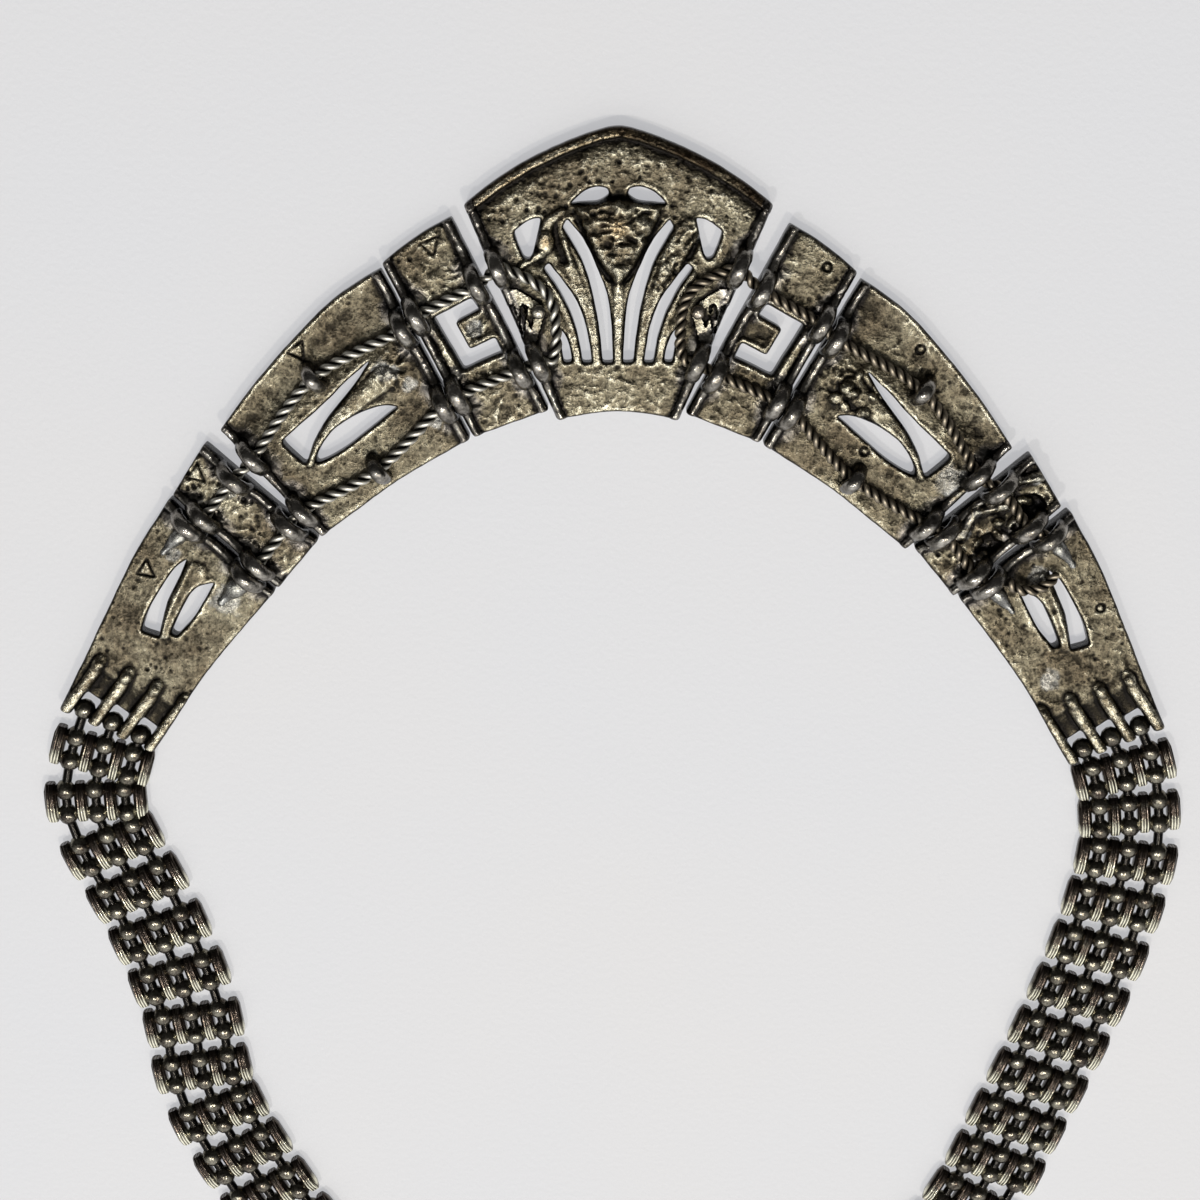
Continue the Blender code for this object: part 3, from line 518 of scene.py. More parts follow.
class Casting:
    """Points, faces and painted numbers of one plate."""

    def __init__(self):
        self.points, self.faces, self.paint = [], [], []
        self.count = 0

    def add(self, points, faces, hollow_and_painted_light, dark, brass_and_gold_glint):
        """Take in points, faces between them and the three painted numbers."""
        points = np.asarray(points, float)
        rows = np.empty((len(points), 3))
        rows[:, 0], rows[:, 1], rows[:, 2] = hollow_and_painted_light, dark, brass_and_gold_glint
        self.faces += [tuple(int(i) + self.count for i in f) for f in faces]
        self.points.append(points)
        self.paint.append(rows)
        self.count += len(points)

    def bar(self, line, radii, sides=14, dark=1.0, seed=0, rough=0.05, squash=1.0, brass_and_gold_glint=0.0):
        """Round bar along a line, closed at both ends, a little uneven like a casting."""
        line = np.asarray(line, float)
        along = np.gradient(line, axis=0)
        along /= np.linalg.norm(along, axis=1)[:, None]
        up = np.array([0.0, 0.0, 1.0])
        flat = line[-1] - line[0]
        side = np.cross(flat, up) if np.hypot(flat[0], flat[1]) > 1e-6 else np.array([1.0, 0, 0])
        side = side / np.linalg.norm(side)
        sides_at = side - along * (along @ side)[:, None]
        sides_at /= np.linalg.norm(sides_at, axis=1)[:, None]
        lifts = np.cross(along, sides_at)
        angle = 2 * math.pi * (np.arange(sides) + 0.5) / sides
        ring = (np.cos(angle)[None, :, None] * sides_at[:, None, :] * squash
                + np.sin(angle)[None, :, None] * lifts[:, None, :])
        points = line[:, None, :] + ring * np.asarray(radii)[:, None, None]
        flat_points = points.reshape(-1, 3)
        wobble = cast_noise(flat_points[:, 0] + 3.1 * flat_points[:, 2],
                            flat_points[:, 1] - 2.3 * flat_points[:, 2], 1.1, 3, seed)
        flat_points += ring.reshape(-1, 3) * (wobble * rough)[:, None]
        faces = []
        for i in range(len(line) - 1):
            for k in range(sides):
                j = (k + 1) % sides
                a, b = i * sides + k, i * sides + j
                faces.append((a, b, b + sides, a + sides))
        faces.append(tuple(range(sides - 1, -1, -1)))
        faces.append(tuple((len(line) - 1) * sides + k for k in range(sides)))
        # painted shade: the part near the plate is stored as a deep hollow, so that its feet
        # stay dark
        low = np.clip((THICK + 2.0 - flat_points[:, 2]) / 2.2, 0.0, 1.0)
        first, second = points[0, :2] - line[0]
        if np.dot(first, np.cross(second, along[0])) < 0:
            faces = [tuple(reversed(f)) for f in faces]
        self.add(flat_points, faces, low, dark, brass_and_gold_glint)

    def mesh(self, name, matrix):
        """One closed mesh in the necklace's metres, faces outwards, smooth shaded."""
        points = np.vstack(self.points)
        turn = np.array(matrix.to_3x3())
        world = (points @ turn.T + np.array(matrix.translation)) * MM
        faces = self.faces
        if matrix.determinant() < 0:
            faces = [tuple(reversed(f)) for f in faces]
        mesh = bpy.data.meshes.new(name)
        mesh.from_pydata(world.tolist(), [], faces)
        for column, label in enumerate(("hollow_and_painted_light", "dark", "brass_and_gold_glint")):
            layer = mesh.attributes.new(label, "FLOAT", "POINT")
            layer.data.foreach_set("value", np.vstack(self.paint)[:, column])
        mesh.polygons.foreach_set("use_smooth", [True] * len(mesh.polygons))
        mesh.set_sharp_from_angle(angle=math.radians(62.0))
        mesh.update()
        return new_object(name, mesh)


# %% Loops over the wire
def unit(a, b):
    """Direction from a to b."""
    d = np.array(b, float) - np.array(a, float)
    return d / np.linalg.norm(d)


def at_edge(edge, out):
    """Point on a joint edge, so many millimetres out from the neck."""
    t = (out - edge[0][1]) / (edge[1][1] - edge[0][1])
    return np.array(edge[0]) + (np.array(edge[1]) - np.array(edge[0])) * t


def joint_edges(kind):
    """Each joint edge of a plate with its name, its direction and the way inwards."""
    for edge, label, toward in zip(near_far[kind], ("near", "far"), (1.0, -1.0)):
        if edge is not None:
            along = unit(*edge)
            yield edge, label, along, np.array([along[1], -along[0]]) * toward


def flips_of(kind):
    """The centre plate carries everything twice, the second time mirrored."""
    return (1.0, -1.0) if kind == "centre" else (1.0,)


def loop_middles(kind):
    """Middle and direction of each cast loop of a plate, at both joint edges."""
    found = []
    for edge, label, along, inward in joint_edges(kind):
        for share in CROSSING[f"{kind} {label}"]:
            middle = at_edge(edge, share * DEPTH[kind]) + inward * LOOP_INSET
            found += [(middle * (flip, 1.0), along * (flip, 1.0)) for flip in flips_of(kind)]
    return found


LOOP_CUTS = 15
LOOP_SUNK = 0.6
LOOP_CLEAR = 0.3


def add_loop(casting, middle, along, span, radius, seed):
    """A cast loop: half an oval over the wire, thick at its crown, sunk in the plate."""
    half_span = span / 2 - radius
    rise = WIRE_HEIGHT + WIRE_RADIUS + LOOP_CLEAR + radius - THICK + LOOP_SUNK
    angle = np.linspace(0.0, math.pi, LOOP_CUTS)
    reach = half_span * np.cos(angle)
    line = np.column_stack([middle[0] + along[0] * reach, middle[1] + along[1] * reach,
                            THICK - LOOP_SUNK + rise * np.sin(angle) - radius * 0.12])
    rng = np.random.default_rng(seed)
    radii = radius * (0.94 + 0.10 * np.sin(angle) + 0.04 * rng.uniform(-1, 1, LOOP_CUTS))
    casting.bar(line, radii, seed=seed, squash=1.22, rough=0.07)


# %% [markdown]
# ## The relief of each plate
# These functions say how high the metal stands at each point. They follow what the back
# of the real casting shows: dished panels inside raised edges, a thick rolled bead along
# each joint, lumps of solder, pits, and the horns and buds between the openings.

# %% What all plates share
WRINKLES = {
    ("centre", "right"): 0.07, ("square", "left"): 0.20, ("square", "right"): 0.13,
    ("wing", "left"): 0.05, ("wing", "right"): 0.10, ("small", "left"): 0.16,
    ("small", "right"): 0.26, ("end", "left"): 0.035, ("end", "right"): 0.10,
}
ROD_INSET = 0.72
ROD_HALF_WIDTH = 0.62


def wrinkled(x, y, scale, seed):
    """Creased noise like crumpled foil, bent by slower noise."""
    bend_x = x + 0.9 * cast_noise(x, y, 2.3, 2, seed + 1)
    bend_y = y + 0.9 * cast_noise(x, y, 2.3, 2, seed + 2)
    first = 1.0 - 2.0 * np.abs(cast_noise(bend_x, bend_y, scale, 2, seed + 3))
    second = 1.0 - 2.0 * np.abs(cast_noise(bend_y, bend_x, scale * 0.5, 2, seed + 4))
    return 0.65 * first + 0.35 * second


def rod_lines(kind):
    """Lines of the rolled beads along the joint edges, just inside them."""
    return [[tuple(np.array(p) + inward * ROD_INSET) for p in edge]
            for edge, _, _, inward in joint_edges(kind)]


def rod_share(kind, x, y, half_width):
    """Distance to the nearest rolled bead as a share of its half width."""
    across = np.abs(x) if kind == "centre" else x
    shares = [from_line(across, y, line, [half_width] * 2) for line in rod_lines(kind)]
    return np.minimum.reduce(shares)


def cast_height(kind, side, x, y, d_edge, d_hole, seed):
    """Height of the plate's back, before its own features."""
    d_all = np.minimum(d_edge, d_hole)
    height = THICK - 0.06 + 0.12 * cast_noise(x, y, 5.5, 2, seed)
    height += WRINKLES[(kind, side)] * wrinkled(x, y, 2.2, seed + 40) * step_up(d_all, 0.1, 0.7)
    height += 0.035 * cast_noise(x, y, 0.75, 2, seed + 80)
    height += 0.10 * bell(d_hole - 0.35, 0.35)
    half_width = ROD_HALF_WIDTH + 0.10 * value_noise(x, y, 2.4, seed + 7)
    share = rod_share(kind, x, y, half_width)
    return np.maximum(height, THICK - 0.15 + 0.75 * dome(share))


def add_feet(kind, x, y, height):
    """Solder that climbs the feet of the cast loops."""
    for middle, along in loop_middles(kind):
        for end in (-1.0, 1.0):
            foot = middle + along * end * (LOOP_SPAN / 2 - LOOP_RADIUS)
            height += 0.5 * spot(x, y, foot, 1.1)
    return height


def round_edges(height, d_edge, d_hole, radius=0.32):
    """Take the sharpness off every edge."""
    d = np.clip(np.minimum(d_edge, d_hole), 0.0, radius)
    return height - (radius - np.sqrt(radius ** 2 - (radius - d) ** 2))


def ridge(x, y, points, widths, rise):
    """A round ridge along a line, as wide to each side as its widths say."""
    return rise * dome(from_line(x, y, points, widths))


def blob(x, y, at, radii, turn=0.0):
    """Rounded lump with a clear edge: 1 at its middle, 0 outside its oval."""
    c, s = math.cos(turn), math.sin(turn)
    u = ((x - at[0]) * c + (y - at[1]) * s) / radii[0]
    v = ((y - at[1]) * c - (x - at[0]) * s) / radii[1]
    return dome(np.hypot(u, v))


# %% The centre plate: bud, curls, rim and brackets
BUD_TOP = 0.775


def centre_relief(side, x, y, height, d_edge, d_hole, seed):
    """The fan plate: its rim, its bud between two curls, the rays and the brackets."""
    w, d = CENTRE_HALF_WIDTH, CENTRE_DEPTH
    ax = np.abs(x)
    away = from_line(ax, y, scaled(CENTRE_HALF[3:], w, d))
    rim = 1.0 - step_up(away, 1.05, 1.4)
    height = height + rim * (0.16 + 0.30 * np.clip(away / 1.2, 0.0, 1.0))
    height -= 0.30 * (1 - rim) * step_up(-away, -3.2, -1.4)
    pitted = step_up(y, 0.60 * d, 0.68 * d)
    height -= 0.16 * pitted * np.clip(cast_noise(x, y, 0.62, 2, seed + 33) - 0.18, 0.0, 1.0)
    # the bud: a pointed leaf with a craggy roof and a groove beside it
    leaf = np.clip((BUD_TOP * d - y) / (0.30 * d), 0.0, 1.0)
    half_width = 0.31 * w * (1.0 - leaf) ** 0.7 + 0.02 * w
    inside_bud = step_up(half_width - ax, -0.1, 0.9) * step_up(
        BUD_TOP * d - 0.2 * ax - y, 0.0, 1.2)
    inside_bud = inside_bud * step_up(y, 0.44 * d, 0.52 * d)
    roof = np.clip(1.0 - ax / np.maximum(half_width, 0.4), 0.0, 1.0)
    crag = wrinkled(x * 0.8 + 3.0, y * 1.3, 3.1, seed + 90)
    facets = np.abs(((y + 0.75 * ax) / 2.6) % 1.0 - 0.5)
    height += inside_bud * (0.10 + 1.0 * roof ** 0.7 + 0.60 * crag + 0.15 * facets)
    height += 0.22 * inside_bud * wrinkled(x * 0.6, y * 1.5, 1.9, seed + 91)
    groove = np.abs(half_width - ax + 0.1) + FAR * ((y < 0.48 * d) | (y > 0.69 * d))
    height -= 0.22 * bell(groove, 0.45)
    height += ridge(x, y, [(0.0, 0.52 * d), (0.0, 0.20 * d)], [0.8, 0.4], 0.25)
    # left curl: a hooked lump with a deep groove beside it
    height += 0.75 * blob(x, y, (-9.4, 23.4), (1.15, 1.6), -0.15)
    height += ridge(x, y, [(-9.3, 24.8), (-8.9, 26.2), (-7.2, 27.4)], [0.8, 0.7, 0.5], 0.40)
    height += ridge(x, y, [(-9.9, 21.9), (-11.3, 21.2), (-12.6, 20.3)], [0.6, 0.5, 0.4], 0.40)
    height += ridge(x, y, [(-7.0, 23.6), (-6.1, 20.8)], [0.4, 0.4], 0.35)
    for line in ([(-8.05, 25.2), (-8.0, 23.0), (-7.3, 21.2)], [(-9.9, 20.9), (-8.8, 20.6)]):
        height -= 0.30 * bell(from_line(x, y, line), 0.6)
    # right curl: a broad leaf with a crimped edge
    leaf_line = [(9.3, 25.0), (7.4, 22.0), (5.3, 18.6)]
    height += ridge(x, y, leaf_line, [1.5, 1.5, 0.8], 0.30)
    height += 0.35 * wrinkled(x, y, 1.3, seed + 47) * dome(from_line(x, y, leaf_line, [1.9] * 3))
    height += ridge(x, y, [(10.2, 24.4), (9.6, 23.4), (8.8, 22.6)], [0.35] * 3, 0.45)
    crease = from_line(x, y, [(10.6, 24.2), (9.2, 21.6), (7.6, 19.4)])
    height -= 0.35 * bell(crease, 0.4)
    # rays: low ridges between the long openings
    for outer in ([(0.03, 0.20), (0.10, 0.42), (0.22, 0.60)],
                  [(0.14, 0.20), (0.19, 0.38), (0.31, 0.53)],
                  [(0.26, 0.20), (0.32, 0.36), (0.47, 0.50)]):
        height += ridge(ax, y, scaled(outer, w, d), [0.55, 0.7, 0.8], 0.18)
    # brackets: flat ribbons round a sunk and creased middle
    height -= 0.30 * spot(ax, y, (12.9, 13.6), 2.3)
    height += 0.30 * wrinkled(x, y, 1.5, seed + 53) * spot(ax, y, (12.9, 13.6), 2.6)
    for bar in BRACKET:
        ends = scaled(bar, w, d)
        flat = np.clip(3.0 * dome(from_line(ax, y, ends, [0.62, 0.62])), 0.0, 1.0)
        height = np.maximum(height, (THICK + 0.45) * flat)
    for line in ([(13.9, 14.9), (12.6, 11.2)], [(12.3, 14.9), (12.6, 11.6)]):
        height -= 0.75 * np.clip(2.0 * dome(from_line(ax, y, line, [0.5, 0.3])), 0.0, 1.0)
    band = step_up(-y, -0.20 * d, -0.17 * d)
    height += band * 0.10 * wrinkled(x, y * 1.7, 1.9, seed + 61)
    height -= pits(x, y, 260, (0.12, 0.34), 0.20, seed + 5, lambda px, py: py > 0.60 * d)
    return height


# %% The square, wing and small plates
def square_relief(side, x, y, height, d_edge, d_hole, seed):
    """A raised rim round the C-shaped opening, and a ridge down its outer side."""
    n, d = LENGTH["square"], DEPTH["square"]
    height = height - 0.25 * spot(x, y, (0.50 * n, 0.475 * d), 1.6)
    height += 0.14 * bell(d_hole - 0.55, 0.35)
    height += ridge(x, y, scaled([(1.02, 0.64), (0.90, 0.30)], n, d), [0.6, 0.6], 0.35)
    height -= pits(x, y, 60, (0.14, 0.34), 0.14, seed + 5)
    return height


def wing_relief(side, x, y, height, d_edge, d_hole, seed):
    """A tusk between the two openings; a cluster of drops on the right-hand plate."""
    n, d = LENGTH["wing"], DEPTH["wing"]
    away = from_line(x, y, plan["wing"][5:])
    height = height + 0.22 * bell(away - 0.3, 0.35)
    height -= 0.45 * step_up(away, 0.5, 2.8) * step_up(y, 0.62 * d, 0.74 * d)
    tusk = scaled([(0.20, 0.52), (0.38, 0.50), (0.56, 0.470), (0.716, 0.420),
                   (0.807, 0.360)], n, d)
    height += ridge(x, y, tusk, [1.7, 1.25, 0.85, 0.55, 0.5], 0.42)
    height += spot(x, y, (0.13 * n, 0.52 * d), 3.2) * (
        0.15 + 0.35 * wrinkled(x, y, 1.7, seed + 23))
    if side == "right":
        rng = np.random.default_rng(77)
        for k in range(11):
            at = (n * rng.uniform(0.14, 0.36), d * rng.uniform(0.42, 0.66))
            radius = rng.uniform(0.6, 1.1)
            height += 0.42 * blob(x, y, at, (radius, radius * 0.8), k)
    height += 0.30 * spot(x, y, (0.97 * n, 0.42 * d), 2.6)
    height -= pits(x, y, 90, (0.12, 0.30), 0.10, seed + 5)
    return height


def small_relief(side, x, y, height, d_edge, d_hole, seed):
    """Plain on the left; folds, deep hollows and drops of solder on the right."""
    n, d = LENGTH["small"], DEPTH["small"]
    if side == "right":
        wave = [(0.30 * n, 0.96 * d), (0.10 * n, 0.80 * d), (0.34 * n, 0.66 * d),
                (0.12 * n, 0.46 * d), (0.30 * n, 0.30 * d), (0.10 * n, 0.08 * d)]
        height = height + ridge(x, y, wave, [0.8, 0.6, 0.75, 0.6, 0.75, 0.6], 0.85)
        height -= 0.9 * blob(x, y, (0.62 * n, 0.80 * d), (1.9, 1.6))
        height -= 0.8 * blob(x, y, (0.66 * n, 0.40 * d), (1.5, 2.0))
        rng = np.random.default_rng(78)
        for k in range(10):
            at = (n * rng.uniform(0.25, 0.85), d * rng.uniform(0.15, 0.85))
            height += 0.55 * blob(x, y, at, (rng.uniform(0.5, 1.2), rng.uniform(0.4, 0.8)), k)
    height = height - pits(x, y, 70, (0.14, 0.42), 0.22, seed + 5)
    return height


# %% The end plates: horn, prongs and the hollows between them
HOLLOW_LENGTH = 4.6
HOLLOW_BED = 1.9
RIB_LENGTH = 7.4


def end_relief(side, x, y, height, d_edge, d_hole, seed):
    """A horn between the openings, and a rib along each prong with hollows between."""
    n, d = LENGTH["end"], DEPTH["end"]
    horn = scaled([(0.150, 0.535), (0.273, 0.532), (0.392, 0.495), (0.488, 0.441)], n, d)
    height = height + ridge(x, y, horn, [1.5, 1.2, 0.9, 0.5], 0.30)
    brow = scaled([(0.12, 0.60), (0.35, 0.53), (0.50, 0.46)], n, d)
    height += 0.25 * bell(from_line(x, y, brow), 0.3)
    for floor, low, high in slot_floor:
        start = floor - HOLLOW_LENGTH
        wall = np.minimum.reduce([(x - start) / 1.1, (y - low + 0.1) / 0.3,
                                  (high + 0.1 - y) / 0.3])
        sunk = step_up(wall, 0.0, 1.0)
        bed = HOLLOW_BED + 0.5 * step_up(-x, -floor + 1.6, -start) + 0.05 * cast_noise(
            x, y, 1.3, 2, seed + 3)
        height = height * (1 - sunk) + bed * sunk
    for index in range(PRONGS):
        out = PRONG_FIRST + index * CHAIN_COLUMN
        root = pin_point(out)[0] - RIB_LENGTH
        height += 0.45 * blob(x, y, (root - 0.3, out + 0.2), (1.3, 0.9))
        rib = [(root, out + 0.1), (pin_point(out)[0] + 1.0, out)]
        height += ridge(x, y, rib, [0.8, 0.7], 0.42)
    height -= pits(x, y, 110, (0.12, 0.32), 0.12, seed + 5)
    return height


RELIEF = {"centre": centre_relief, "square": square_relief, "wing": wing_relief,
          "small": small_relief, "end": end_relief}

# %% [markdown]
# ## Scribed marks
# The left-hand plates carry small scratched triangles and the right-hand ones small
# punched rings, the plain assembly marks of a workshop. They are grooves in the height.

# %% Marks in each plate's own millimetres
TRIANGLES = {"wing": [(12.2, 22.0)], "square": [(6.8, 25.4)], "small": [(3.5, 17.9)],
             "end": [(8.2, 15.4)]}
RINGS = {"square": [(9.6, 24.7), (12.9, 21.9)], "wing": [(8.9, 22.3), (11.4, 7.3)],
         "end": [(12.1, 15.1)]}


def add_marks(kind, side, x, y, height):
    """Scratch the triangles or punch the rings of one plate."""
    if side == "left":
        for cx, cy in TRIANGLES.get(kind, []):
            ring = [(cx - 1.3, cy + 0.9), (cx + 1.2, cy + 0.8), (cx + 0.1, cy - 1.3),
                    (cx - 1.3, cy + 0.9)]
            height = height - 0.20 * bell(from_line(x, y, ring), 0.14)
    else:
        for cx, cy in RINGS.get(kind, []):
            off = np.abs(np.hypot(x - cx, y - cy) - 0.55)
            height = height - 0.24 * bell(off, 0.15)
    return height


# %% [markdown]
# ## Casting the plates
# Each outline is filled once and used for both sides; only the heights differ. How much
# lower a point lies than the smoothed surface round it is stored as its hollow, and the
# metal's finish reads that: old dark patina stays in hollows, and ridges are rubbed
# bright.

# %% Blurring over the mesh
def blurred(values, faces, rounds):
    """Average each point with its neighbours, a number of times."""
    ends = np.vstack([faces[:, [0, 1]], faces[:, [1, 2]], faces[:, [2, 0]]])
    pairs = np.vstack([ends, ends[:, ::-1]])
    count = np.bincount(pairs[:, 0], minlength=len(values)).astype(float)
    for _ in range(rounds):
        total = np.bincount(pairs[:, 0], weights=values[pairs[:, 1]], minlength=len(values))
        values = 0.5 * values + 0.5 * total / np.maximum(count, 1.0)
    return values


# %% Make one plate
SPACING = 0.20
FRONT_SPACING = 1.6
EDGE_STEP = 0.07
WALL_LEVELS = ((0.72, 0.0), (0.30, 0.02), (0.08, 0.04), (0.0, 0.14))
SOLDER = {
    ("wing", "left"): [((4.2, 13.6), 1.8), ((2.4, 10.6), 1.2), ((2.2, 4.6), 1.3)],
    ("wing", "right"): [((23.2, 11.0), 2.4)],
    ("square", "left"): [((1.2, 24.0), 1.0), ((5.2, 13.4), 1.3)],
    ("small", "left"): [((2.6, 13.0), 1.0)],
    ("end", "left"): [((5.2, 4.2), 2.4), ((4.2, 13.6), 1.1)],
    ("end", "right"): [((3.6, 10.6), 1.4), ((17.0, 4.0), 1.6)],
    ("small", "right"): [((2.7, 18.4), 1.0), ((1.0, 15.8), 1.0), ((2.8, 13.0), 0.9),
                         ((1.1, 9.4), 1.0), ((2.5, 6.4), 0.9)],
}
fills = {}


def flat_plate(kind):
    """Rings, points and triangles of a plate's back and of its coarse front."""
    if kind not in fills:
        rings = [turned(cast_outline(plan[kind], SPACING, 3), True)]
        rings += [turned(cast_outline(h, SPACING, 5 + k), False)
                  for k, h in enumerate(holes[kind])]
        back, faces, order = fill(rings, SPACING, 0.12)
        front, front_faces, front_order = fill(rings, FRONT_SPACING, 0.5)
        x, y = back.T.copy()
        d_edge = distances(x, y, tree_of(even_steps(rings[0], EDGE_STEP)))
        d_hole = np.full(len(back), FAR)
        if len(rings) > 1:
            tree = tree_of(np.vstack([even_steps(r, EDGE_STEP) for r in rings[1:]]))
            d_hole = distances(x, y, tree)
        order = np.array(order)
        count = len(rings[0])
        d_edge[order[:count]] = 0.0
        d_hole[order[count:]] = 0.0
        fills[kind] = SimpleNamespace(
            rings=rings, x=x, y=y, faces=faces, order=order, d_edge=d_edge, d_hole=d_hole,
            front=front, front_faces=front_faces, front_order=front_order)
    return fills[kind]


def plate_surface(kind, side, seed):
    """Height and hollow of each point of the plate's back."""
    flat = flat_plate(kind)
    x, y, d_edge, d_hole = flat.x, flat.y, flat.d_edge, flat.d_hole
    height = cast_height(kind, side, x, y, d_edge, d_hole, seed)
    height = RELIEF[kind](side, x, y, height, d_edge, d_hole, seed)
    height = add_marks(kind, side, x, y, add_feet(kind, x, y, height))
    height = round_edges(height, d_edge, d_hole)
    hollow_and_painted_light = (blurred(height, flat.faces, 12) - height) * 3.0
    hollow_and_painted_light += (blurred(height, flat.faces, 90) - height) * 0.8
    # the outer castings have gone duller than the centre
    dull = {"end": 0.07, "wing": 0.05, "square": 0.04 if side == "right" else 0.0}
    return height, np.clip(0.40 + dull.get(kind, 0.0) + hollow_and_painted_light, 0.20, 1.0)


def joint_metal(kind, side, x, y, seed):
    """Near 1 on the rolled beads and round the loops' feet, below 0 on pale solder."""
    dark = 0.9 * step_up(-rod_share(kind, x, y, ROD_HALF_WIDTH), -1.35, -0.9)
    ragged = 0.5 * cast_noise(x, y, 1.4, 2, seed + 17)
    for middle, along in loop_middles(kind):
        away = from_line(x, y, [middle - along * 2.4, middle + along * 2.4])
        dark = np.maximum(dark, 0.85 * step_up(-away + ragged, -2.5, -1.2))
    ragged = 0.45 * cast_noise(x, y, 1.1, 2, seed + 18)
    for at, radius in SOLDER.get((kind, side), []):
        away = np.hypot(x - at[0], y - at[1]) / radius + ragged
        dark = dark - (dark + 0.5) * step_up(-away, -1.1, -0.6)
    return dark


def gilded_rim(x, y, hollow_and_painted_light):
    """Brass of the centre plate with painted gold highlights; a darker band along the rim, and a
    painted highlight along the rim's left half.
    """
    away = from_line(np.abs(x), y, scaled(CENTRE_HALF[3:], CENTRE_HALF_WIDTH, CENTRE_DEPTH))
    brass_and_gold_glint = 0.9 * (1 - step_up(away, 0.9, 1.5)) * (0.6 + 0.4 * value_noise(x, y, 2.5, 8))
    # painted gold highlights on the left curl's lump and on the top of the bud
    brass_and_gold_glint += 0.8 * spot(x, y, (-9.4, 23.5), 0.9) + 0.8 * spot(x, y, (-0.3, 25.4), 1.6)
    # the band along the rim is made darker, narrower on the left half than on the right
    dark_band_width = np.where(x < 0.0, 0.95, 1.45)
    hollow_and_painted_light = np.maximum(hollow_and_painted_light, 0.60 * (1 - step_up(away - dark_band_width, -0.4, 0.0)))
    # painted highlight: a thin pale line along the rim's left half, where light catches the
    # bevel
    painted_highlight = bell(away - 0.62, 0.20) * step_up(-x, 0.0, 3.0)
    return brass_and_gold_glint * (1 - 0.75 * painted_highlight), hollow_and_painted_light + (0.1 - hollow_and_painted_light) * painted_highlight


def cast_plate(kind, side, name, seed):
    """The whole plate: back, walls, plain front and everything that stands on it."""
    flat = flat_plate(kind)
    height, hollow_and_painted_light = plate_surface(kind, side, seed)
    casting = Casting()
    brass_and_gold_glint = np.zeros_like(flat.x)
    if kind == "centre":
        brass_and_gold_glint, hollow_and_painted_light = gilded_rim(flat.x, flat.y, hollow_and_painted_light)
    casting.add(np.column_stack([flat.x, flat.y, height]), flat.faces, hollow_and_painted_light,
                joint_metal(kind, side, flat.x, flat.y, seed), np.clip(brass_and_gold_glint, 0.0, 1.0))
    # walls: the rim again at some lower levels, the lowest a little further in
    edge = np.vstack(flat.rings)
    normals = np.vstack([normals_of(ring) for ring in flat.rings])
    wall_points = [np.column_stack([edge - normals * inset, height[flat.order] * share])
                   for share, inset in WALL_LEVELS]
    wall_faces, start = [], 0
    for ring in flat.rings:
        count = len(ring)
        for i in range(count):
            a, b = start + i, start + (i + 1) % count
            tops = (flat.order[a], flat.order[b])
            for level in range(len(WALL_LEVELS)):
                lows = [casting.count + level * len(edge) + k for k in (a, b)]
                wall_faces.append((*lows, tops[1], tops[0]))
                tops = lows
        start += count
    under = casting.count + (len(WALL_LEVELS) - 1) * len(edge)
    # the walls are stored as a deep hollow: painted shade on the plate's sides
    casting.add(np.vstack(wall_points), [], 0.75, 0.3, 0.0)
    casting.faces += wall_faces
    # front: its rim is the walls' lowest level
    link = {new: under + i for i, new in enumerate(flat.front_order)}
    inner = [i for i in range(len(flat.front)) if i not in link]
    link.update({i: casting.count + k for k, i in enumerate(inner)})
    casting.add(np.column_stack([flat.front[inner], np.zeros(len(inner))]), [], 0.4, 0.0, 0.0)
    casting.faces += [(link[c], link[b], link[a]) for a, b, c in flat.front_faces]
    stand_on(casting, kind, side, seed)
    return casting.mesh(name, lay[side][kind])


# %% What stands on each plate
POST_PROFILE = [(-0.5, 0.85), (0.9, 0.85), (1.3, 1.0), (1.6, 0.9), (1.8, 0.6), (1.88, 0.2)]
SOLDER_TAIL = [(1.8, 0.6, 0.9), (2.4, 0.9, 1.25), (3.1, 0.8, 1.3), (4.0, 0.45, 1.05),
               (4.9, 0.2, 0.75), (5.7, 0.1, 0.5), (6.2, 0.15, 0.55), (6.6, 0.1, 0.25)]


def stand_on(casting, kind, side, seed):
    """Loops and staples over the wire, posts in its bends, solder on its ends."""
    number = 0
    for middle, along in loop_middles(kind):
        number += 1
        add_loop(casting, middle, along, LOOP_SPAN, LOOP_RADIUS, seed + 200 + number)
    if kind == "wing":
        for share in CROSSING["wing staple"]:
            number += 1
            add_loop(casting, (STAPLE_ALONG, share * DEPTH["wing"]), (0.05, 0.9987),
                     STAPLE_SPAN, STAPLE_RADIUS, seed + 300 + number)
    if kind == "centre":
        for flip in flips_of(kind):
            px, py = POST_AT[0] * CENTRE_HALF_WIDTH * flip, POST_AT[1] * CENTRE_DEPTH
            # the right-hand post's brass is a painted gold glint
            casting.bar([(px, py, THICK + rise) for rise, _ in POST_PROFILE],
                        [radius for _, radius in POST_PROFILE], dark=0.8, seed=seed + 9,
                        rough=0.04, brass_and_gold_glint=0.7 if flip > 0 else 0.1)
    if kind == "end":
        for number, share in enumerate(CROSSING["end near"]):
            out = share * DEPTH["end"]
            edge = at_edge(near_far["end"][0], out)
            big = 1.0 if number == 1 and side == "left" else 0.72
            line = [(edge[0] + s, out + 0.12 * s, THICK + z) for s, z, _ in SOLDER_TAIL]
            casting.bar(line, [radius * big for _, _, radius in SOLDER_TAIL], dark=-0.9,
                        seed=seed + 12 + number, rough=0.2, squash=1.15)


